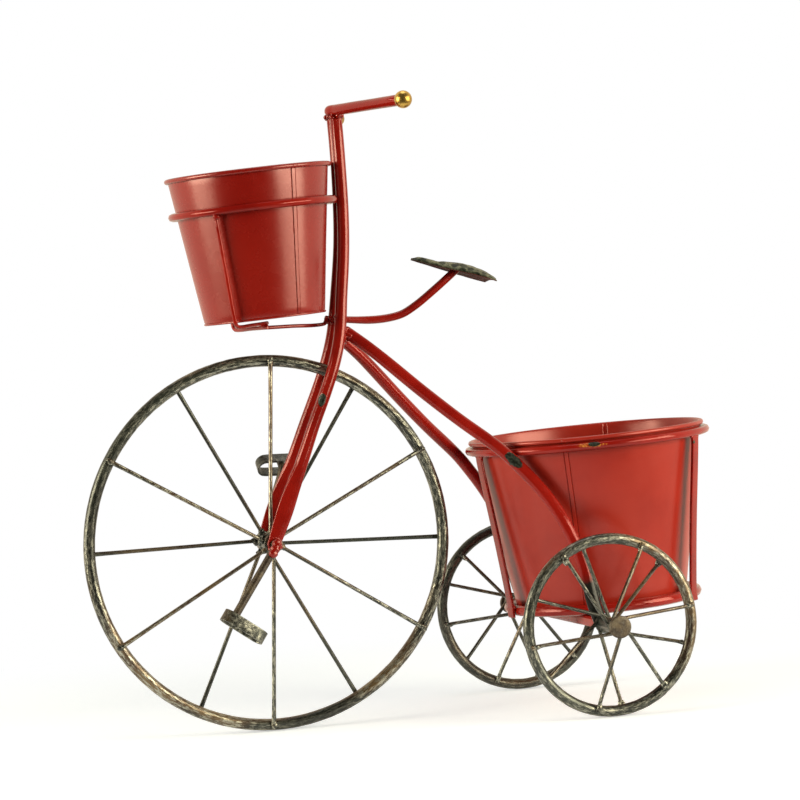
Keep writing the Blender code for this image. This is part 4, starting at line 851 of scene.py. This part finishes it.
# Bead round the left end of the axle, and the crank's weld under a run of red paint, clear of the bead
AXLE = Vector(FRONT_AXLE)
AXLE_RING_RADIUS = 0.0060
AXLE_RING_ASIDE = -0.0240
AXLE_RING_SEED_RADIUS = 0.0014
AXLE_RING_SEEDS = 24
axle_ring_seeds = []
for step in range(AXLE_RING_SEEDS):
    turn = 2 * math.pi * step / AXLE_RING_SEEDS
    ahead = AXLE_RING_RADIUS * math.cos(turn)
    above = AXLE_RING_RADIUS * math.sin(turn)
    place = AXLE + Vector((ahead, AXLE_RING_ASIDE, above))
    axle_ring_seeds.append((place, AXLE_RING_SEED_RADIUS))
axle_end_seeds = [
    (AXLE + Vector((0.0000, -0.0302, 0.0004)), 0.0042),
    (AXLE + Vector((0.0004, -0.0335, 0.0010)), 0.0048),
    (AXLE + Vector((-0.0008, -0.0365, 0.0004)), 0.0050),
    (AXLE + Vector((-0.0030, -0.0378, -0.0040)), 0.0049),
    (AXLE + Vector((-0.0055, -0.0386, -0.0082)), 0.0045),
    (AXLE + Vector((0.0030, -0.0310, -0.0022)), 0.0034),
]
weld(
    "axle_ring_weld", "frame", "red_frame_paint", axle_ring_seeds, RED_FORK_SHADED,
    voxel=0.0004, bumpy=0.0001,
)
weld(
    "axle_end_weld", "front_wheel", "red_frame_paint", axle_end_seeds, RED_FORK_SHADED,
    voxel=0.0005, bumpy=0.0005,
)

# Welds at both ends of the spokes. Each end has four seeds, placed along and across the spoke.
SPOKE_END_SEEDS = (
    (0.0, 0.0, 1.0), (-0.0030, 0.0004, 0.82), (0.0016, -0.0006, 0.8), (-0.0008, 0.0014, 0.75),
)
OUTER = 1
INNER = -1
SECTOR_DEGREES = 8.0
SECTORS = 45


def spoke_end(node, side, depth):
    """The middle of the points at a front spoke's outer or inner end."""
    points = [vertex.co.copy() for vertex in NODES[node].data.vertices]
    reach = [side * math.hypot(point.x - AXLE.x, point.z - AXLE.z) for point in points]
    limit = max(reach) - depth
    ends = [point for point, out in zip(points, reach) if out > limit]
    return sum(ends, Vector()) / len(ends)


def spoke_tips(node, centre, reach):
    """The middles of the groups of points that lie furthest out on a hub with its spokes."""
    groups = {}
    for vertex in NODES[node].data.vertices:
        offset = vertex.co - centre
        if math.hypot(offset.x, offset.z) > reach:
            direction = math.degrees(math.atan2(offset.z, offset.x))
            sector = round(direction / SECTOR_DEGREES) % SECTORS
            groups.setdefault((sector, offset.y > 0), []).append(vertex.co.copy())
    return [sum(points, Vector()) / len(points) for _, points in sorted(groups.items())]


def spoke_seeds(ends, centre, size, inward):
    seeds = []
    for end in ends:
        out = Vector((end.x - centre.x, 0.0, end.z - centre.z)).normalized()
        across = Vector((-out.z, 0.0, out.x))
        for along, sideways, share in SPOKE_END_SEEDS:
            seeds.append((end + out * (along - inward) + across * sideways, size * share))
    return seeds


FRONT_SPOKES = [f"front_spoke_{number:02d}" for number in range(1, 13)]
front_tips = [spoke_end(node, OUTER, 0.0012) for node in FRONT_SPOKES]
front_roots = [spoke_end(node, INNER, 0.0015) for node in FRONT_SPOKES]

# Lumps all round the front hub's barrel join the spokes' roots. They lie in five rows across it.
HUB_LUMPS = 22
HUB_ROWS = 5
HUB_LUMP_TURN = 2.4
HUB_LUMP_RADIUS = 0.0024
HUB_LUMP_GROWTH = 0.0003
HUB_LUMP_SINK = 0.0006
HUB_END_ROOM = 0.0034
hub_points = [vertex.co - AXLE for vertex in NODES["front_hub"].data.vertices]
hub_radius = max(math.hypot(point.x, point.z) for point in hub_points) - HUB_LUMP_SINK
hub_half = max(abs(point.y) for point in hub_points) - HUB_END_ROOM
hub_seeds = spoke_seeds(front_roots, AXLE, size=0.0030, inward=-0.0016)
for step in range(HUB_LUMPS):
    turn = step * HUB_LUMP_TURN
    aside = (2.0 * (step % HUB_ROWS) / (HUB_ROWS - 1) - 1.0) * hub_half
    out = Vector((math.cos(turn) * hub_radius, aside, math.sin(turn) * hub_radius))
    hub_seeds.append((AXLE + out, HUB_LUMP_RADIUS + HUB_LUMP_GROWTH * (step * 3 % 4)))
weld("front_hub_weld", "front_wheel", "worn_black_steel", hub_seeds, BLACK, bumpy=0.0011)
weld(
    "front_spoke_weld", "front_wheel", "worn_black_steel",
    spoke_seeds(front_tips, AXLE, size=0.0026, inward=0.0010), SILVER_WELD,
)
REAR_WHEEL_ASIDE = 0.1423
REAR_SPOKE_REACH = 0.0745
for side_name, side in SIDE_NAMES:
    hub_middle = Vector((REAR_AXLE[0], side * REAR_WHEEL_ASIDE, REAR_AXLE[2]))
    tips = spoke_tips("rear_hub_" + side_name, hub_middle, REAR_SPOKE_REACH)
    weld(
        f"rear_spoke_weld_{side_name}", f"rear_wheel_{side_name}", "worn_black_steel",
        spoke_seeds(tips, hub_middle, size=0.0023, inward=0.0), SILVER_WELD,
    )

# Small round head near the top of the left rear upright, with a shallow slot
RIVET_PLACE = Vector((0.28002, -0.09255, 0.25876))
RIVET_FACING = Vector((0.494, -0.87, 0.0))
RIVET_RADIUS = 0.0017
RIVET_RISE_SHARE = 0.55
RIVET_BACK_SHARE = 0.1
RIVET_SLOT_HALF_SHARE = 0.2
RIVET_SLOT_DEPTH_SHARE = 0.12


def rivet_mesh(name):
    bm = bmesh.new()
    bmesh.ops.create_uvsphere(bm, u_segments=20, v_segments=10, radius=RIVET_RADIUS)
    for vertex in bm.verts:
        if vertex.co.z < 0:
            vertex.co.z *= RIVET_BACK_SHARE
        vertex.co.z *= RIVET_RISE_SHARE
        if vertex.co.z > 0 and abs(vertex.co.x) < RIVET_RADIUS * RIVET_SLOT_HALF_SHARE:
            vertex.co.z -= RIVET_RADIUS * RIVET_SLOT_DEPTH_SHARE
    turn = Vector((0.0, 0.0, 1.0)).rotation_difference(RIVET_FACING).to_matrix().to_4x4()
    bm.transform(Matrix.Translation(RIVET_PLACE) @ turn)
    mesh = new_mesh(name, bm)
    mesh.shade_smooth()
    return mesh


add_piece("upright_rivet", rivet_mesh("upright_rivet"), "frame", "bronzed_steel", BRONZE)

# Hammered saddle, with its dents on top only
DENT_SCALE = 105.0
DENT_REACH = 0.55
DENT_DEPTH = 0.0009
SADDLE_SWELL = 0.0001
SADDLE_LEVELS = 3
SADDLE_CREASE_DEGREES = 60.0


def hammer(mesh):
    for vertex, normal in zip(mesh.vertices, normals_of(mesh)):
        distances, _ = noise.voronoi(vertex.co * DENT_SCALE)
        dent = max(0.0, 1.0 - distances[0] / DENT_REACH)
        vertex.co -= normal * (max(0.0, normal.z) * dent * DENT_DEPTH - SADDLE_SWELL)
    return mesh


saddle_mesh = hammer(rounded_copy("saddle", SADDLE_LEVELS, SADDLE_CREASE_DEGREES))
add_piece("saddle_shell", saddle_mesh, "saddle", "hammered_dark_metal", None, ("saddle",))

# All other nodes keep their own surface, made smooth, and these have a finish of their own.
SPECIAL = {
    "fork_tube_left": RED_FORK_SHADED,
    "fork_tube_right": RED_FORK_SHADED,
    "fork_bridge": RED_FORK_SHADED,
    "frame_tube_left": RED_TUBE,
    "frame_tube_right": RED_TUBE,
    "rear_upper_hoop": RED_HOOP,
    "pedal_left": PEDAL,
    "pedal_right": PEDAL,
    "rear_hub_left": REAR_SPOKE,
    "rear_hub_right": REAR_SPOKE,
}
# The near six front spokes get the painted-light copy, the far six the painted-shade copy.
for lit, dark in zip(FRONT_SPOKES[:6], FRONT_SPOKES[6:]):
    SPECIAL[lit] = LIT_SPOKE
    SPECIAL[dark] = SHADED_SPOKE
DONE = {"front_pot", "rear_pot", "front_rim", "rear_rim_left", "rear_rim_right", "saddle"}
for node in sorted(set(NODES) - DONE):
    dress(node, SPECIAL.get(node))


# Camera at the photograph's angle; its angles are in radians
CAMERA_DISTANCE = 3.2
CAMERA_YAW = 0.283
CAMERA_PITCH = 0.026
CAMERA_ROLL = -0.060
CAMERA_TARGET = Vector((0.004938, 0.0, 0.317824))
CAMERA_LENS = 144.0
CAMERA_SENSOR = 36.0
forward = Vector((
    math.sin(CAMERA_YAW) * math.cos(CAMERA_PITCH),
    math.cos(CAMERA_YAW) * math.cos(CAMERA_PITCH),
    -math.sin(CAMERA_PITCH),
))
level_right = Vector((math.cos(CAMERA_YAW), -math.sin(CAMERA_YAW), 0.0))
level_up = level_right.cross(forward)
right = level_right * math.cos(CAMERA_ROLL) + level_up * math.sin(CAMERA_ROLL)
up = level_up * math.cos(CAMERA_ROLL) - level_right * math.sin(CAMERA_ROLL)
camera_data = bpy.data.cameras.new("camera")
camera_data.lens = CAMERA_LENS
camera_data.sensor_width = CAMERA_SENSOR
camera = new_object("camera", camera_data)
turn = Matrix((right, up, -forward)).transposed().to_4x4()
camera.matrix_world = Matrix.Translation(CAMERA_TARGET - forward * CAMERA_DISTANCE) @ turn
bpy.context.scene.camera = camera

# Light
MIDDLE = Vector((0.0, 0.0, 0.32))
BOX_DISTANCE = 2.5


def soft_box(name, place, size, energy, colour=WHITE):
    data = bpy.data.lights.new(name, "AREA")
    data.shape = "RECTANGLE"
    data.size, data.size_y = size
    data.energy = energy
    data.color = colour
    lamp = new_object(name, data)
    lamp.location = place
    lamp.rotation_euler = (MIDDLE - place).to_track_quat("-Z", "Y").to_euler()


def around(degrees, height):
    """A place round the object; 0 is behind it, along +X, and -90 is off its left side, along -Y."""
    angle = math.radians(degrees)
    return MIDDLE + Vector((math.cos(angle) * BOX_DISTANCE, math.sin(angle) * BOX_DISTANCE, height))


soft_box("soft_box_left", around(-176.0, 0.35), size=(1.5, 1.8), energy=94.0, colour=WARM_WHITE)
soft_box("soft_box_right", around(-43.0, 0.45), size=(2.1, 1.8), energy=104.0, colour=WARM_WHITE)
soft_box("soft_box_top", MIDDLE + Vector((0.1, 0.1, 2.4)), size=(1.2, 1.2), energy=9.0)

# The backdrop stands behind the object, and the room before it is dark: metal shows both.
BACKDROP_DIRECTION = (0.279, 0.960, 0.0)
FILL_LEVEL = 0.12
DARK_ROOM_LEVEL = 0.02
SKY_STEP = (-0.15, 0.25, DARK_ROOM_LEVEL, 1.0)
world = bpy.data.worlds.new("studio")
bpy.context.scene.world = world
world.use_nodes = True
sky = Nodes(world.node_tree, "Generated")
background = sky.tree.nodes["Background"]
rays = sky.add("ShaderNodeLightPath").outputs
towards = sky.vector("DOT_PRODUCT", sky.place, BACKDROP_DIRECTION)
mirrored = sky.ramp(towards, *SKY_STEP)
mirrored = sky.math("MULTIPLY", rays["Is Glossy Ray"], mirrored)
straight = sky.math("MAXIMUM", rays["Is Camera Ray"], rays["Is Transmission Ray"])
fill = sky.math("MULTIPLY", rays["Is Diffuse Ray"], FILL_LEVEL)
level = sky.math("MAXIMUM", sky.math("MAXIMUM", straight, mirrored), fill)
sky.link(level, background.inputs["Strength"])
sky.link(sky.mix(rays["Is Glossy Ray"], WHITE, CREAM), background.inputs["Color"])

# Floor: it takes the object's shadow near the middle and fades into the backdrop further out.
FLOOR_RADIUS = 6.0
FLOOR_SIDES = 96
FLOOR_DROP = 0.0004
FLOOR_GLOW = 0.42
FLOOR_FADE = (0.42, 0.85)
FLOOR_STEP = (-0.6, 0.3, DARK_ROOM_LEVEL, 1.0)


def floor():
    bm = bmesh.new()
    bmesh.ops.create_circle(bm, cap_ends=True, segments=FLOOR_SIDES, radius=FLOOR_RADIUS)
    obj = new_object("floor", new_mesh("floor", bm))
    obj.location.z = -FLOOR_DROP
    n = Paint("pale_floor")
    n.shader.inputs["Base Color"].default_value = FLOOR_COLOUR
    n.shader.inputs["Roughness"].default_value = FLOOR_ROUGHNESS
    n.shader.inputs["Specular IOR Level"].default_value = 0.0
    rays = n.add("ShaderNodeLightPath").outputs
    white = n.mix(rays["Is Glossy Ray"], WHITE, CREAM)
    straight = n.math("MAXIMUM", rays["Is Camera Ray"], rays["Is Transmission Ray"])

    glow = n.add("ShaderNodeEmission")
    n.link(white, glow.inputs["Color"])
    seen = n.math("MAXIMUM", straight, rays["Is Glossy Ray"])
    n.link(n.math("MULTIPLY", seen, FLOOR_GLOW), glow.inputs["Strength"])
    near = n.add("ShaderNodeAddShader")
    n.link(n.shader.outputs["BSDF"], near.inputs[0])
    n.link(glow.outputs["Emission"], near.inputs[1])

    far = n.add("ShaderNodeEmission")
    n.link(white, far.inputs["Color"])
    behind = n.vector("DOT_PRODUCT", n.place, BACKDROP_DIRECTION)
    mirrored = n.ramp(behind, *FLOOR_STEP)
    mirrored = n.math("MULTIPLY", rays["Is Glossy Ray"], mirrored)
    n.link(n.math("MAXIMUM", straight, mirrored), far.inputs["Strength"])

    fade = n.add("ShaderNodeMixShader")
    n.link(n.ramp(n.vector("LENGTH", n.place), *FLOOR_FADE), fade.inputs[0])
    n.link(near.outputs["Shader"], fade.inputs[1])
    n.link(far.outputs["Emission"], fade.inputs[2])
    n.link(fade.outputs["Shader"], n.tree.nodes["Material Output"].inputs["Surface"])
    obj.data.materials.append(n.material)


floor()
bpy.context.scene.view_settings.view_transform = "Standard"
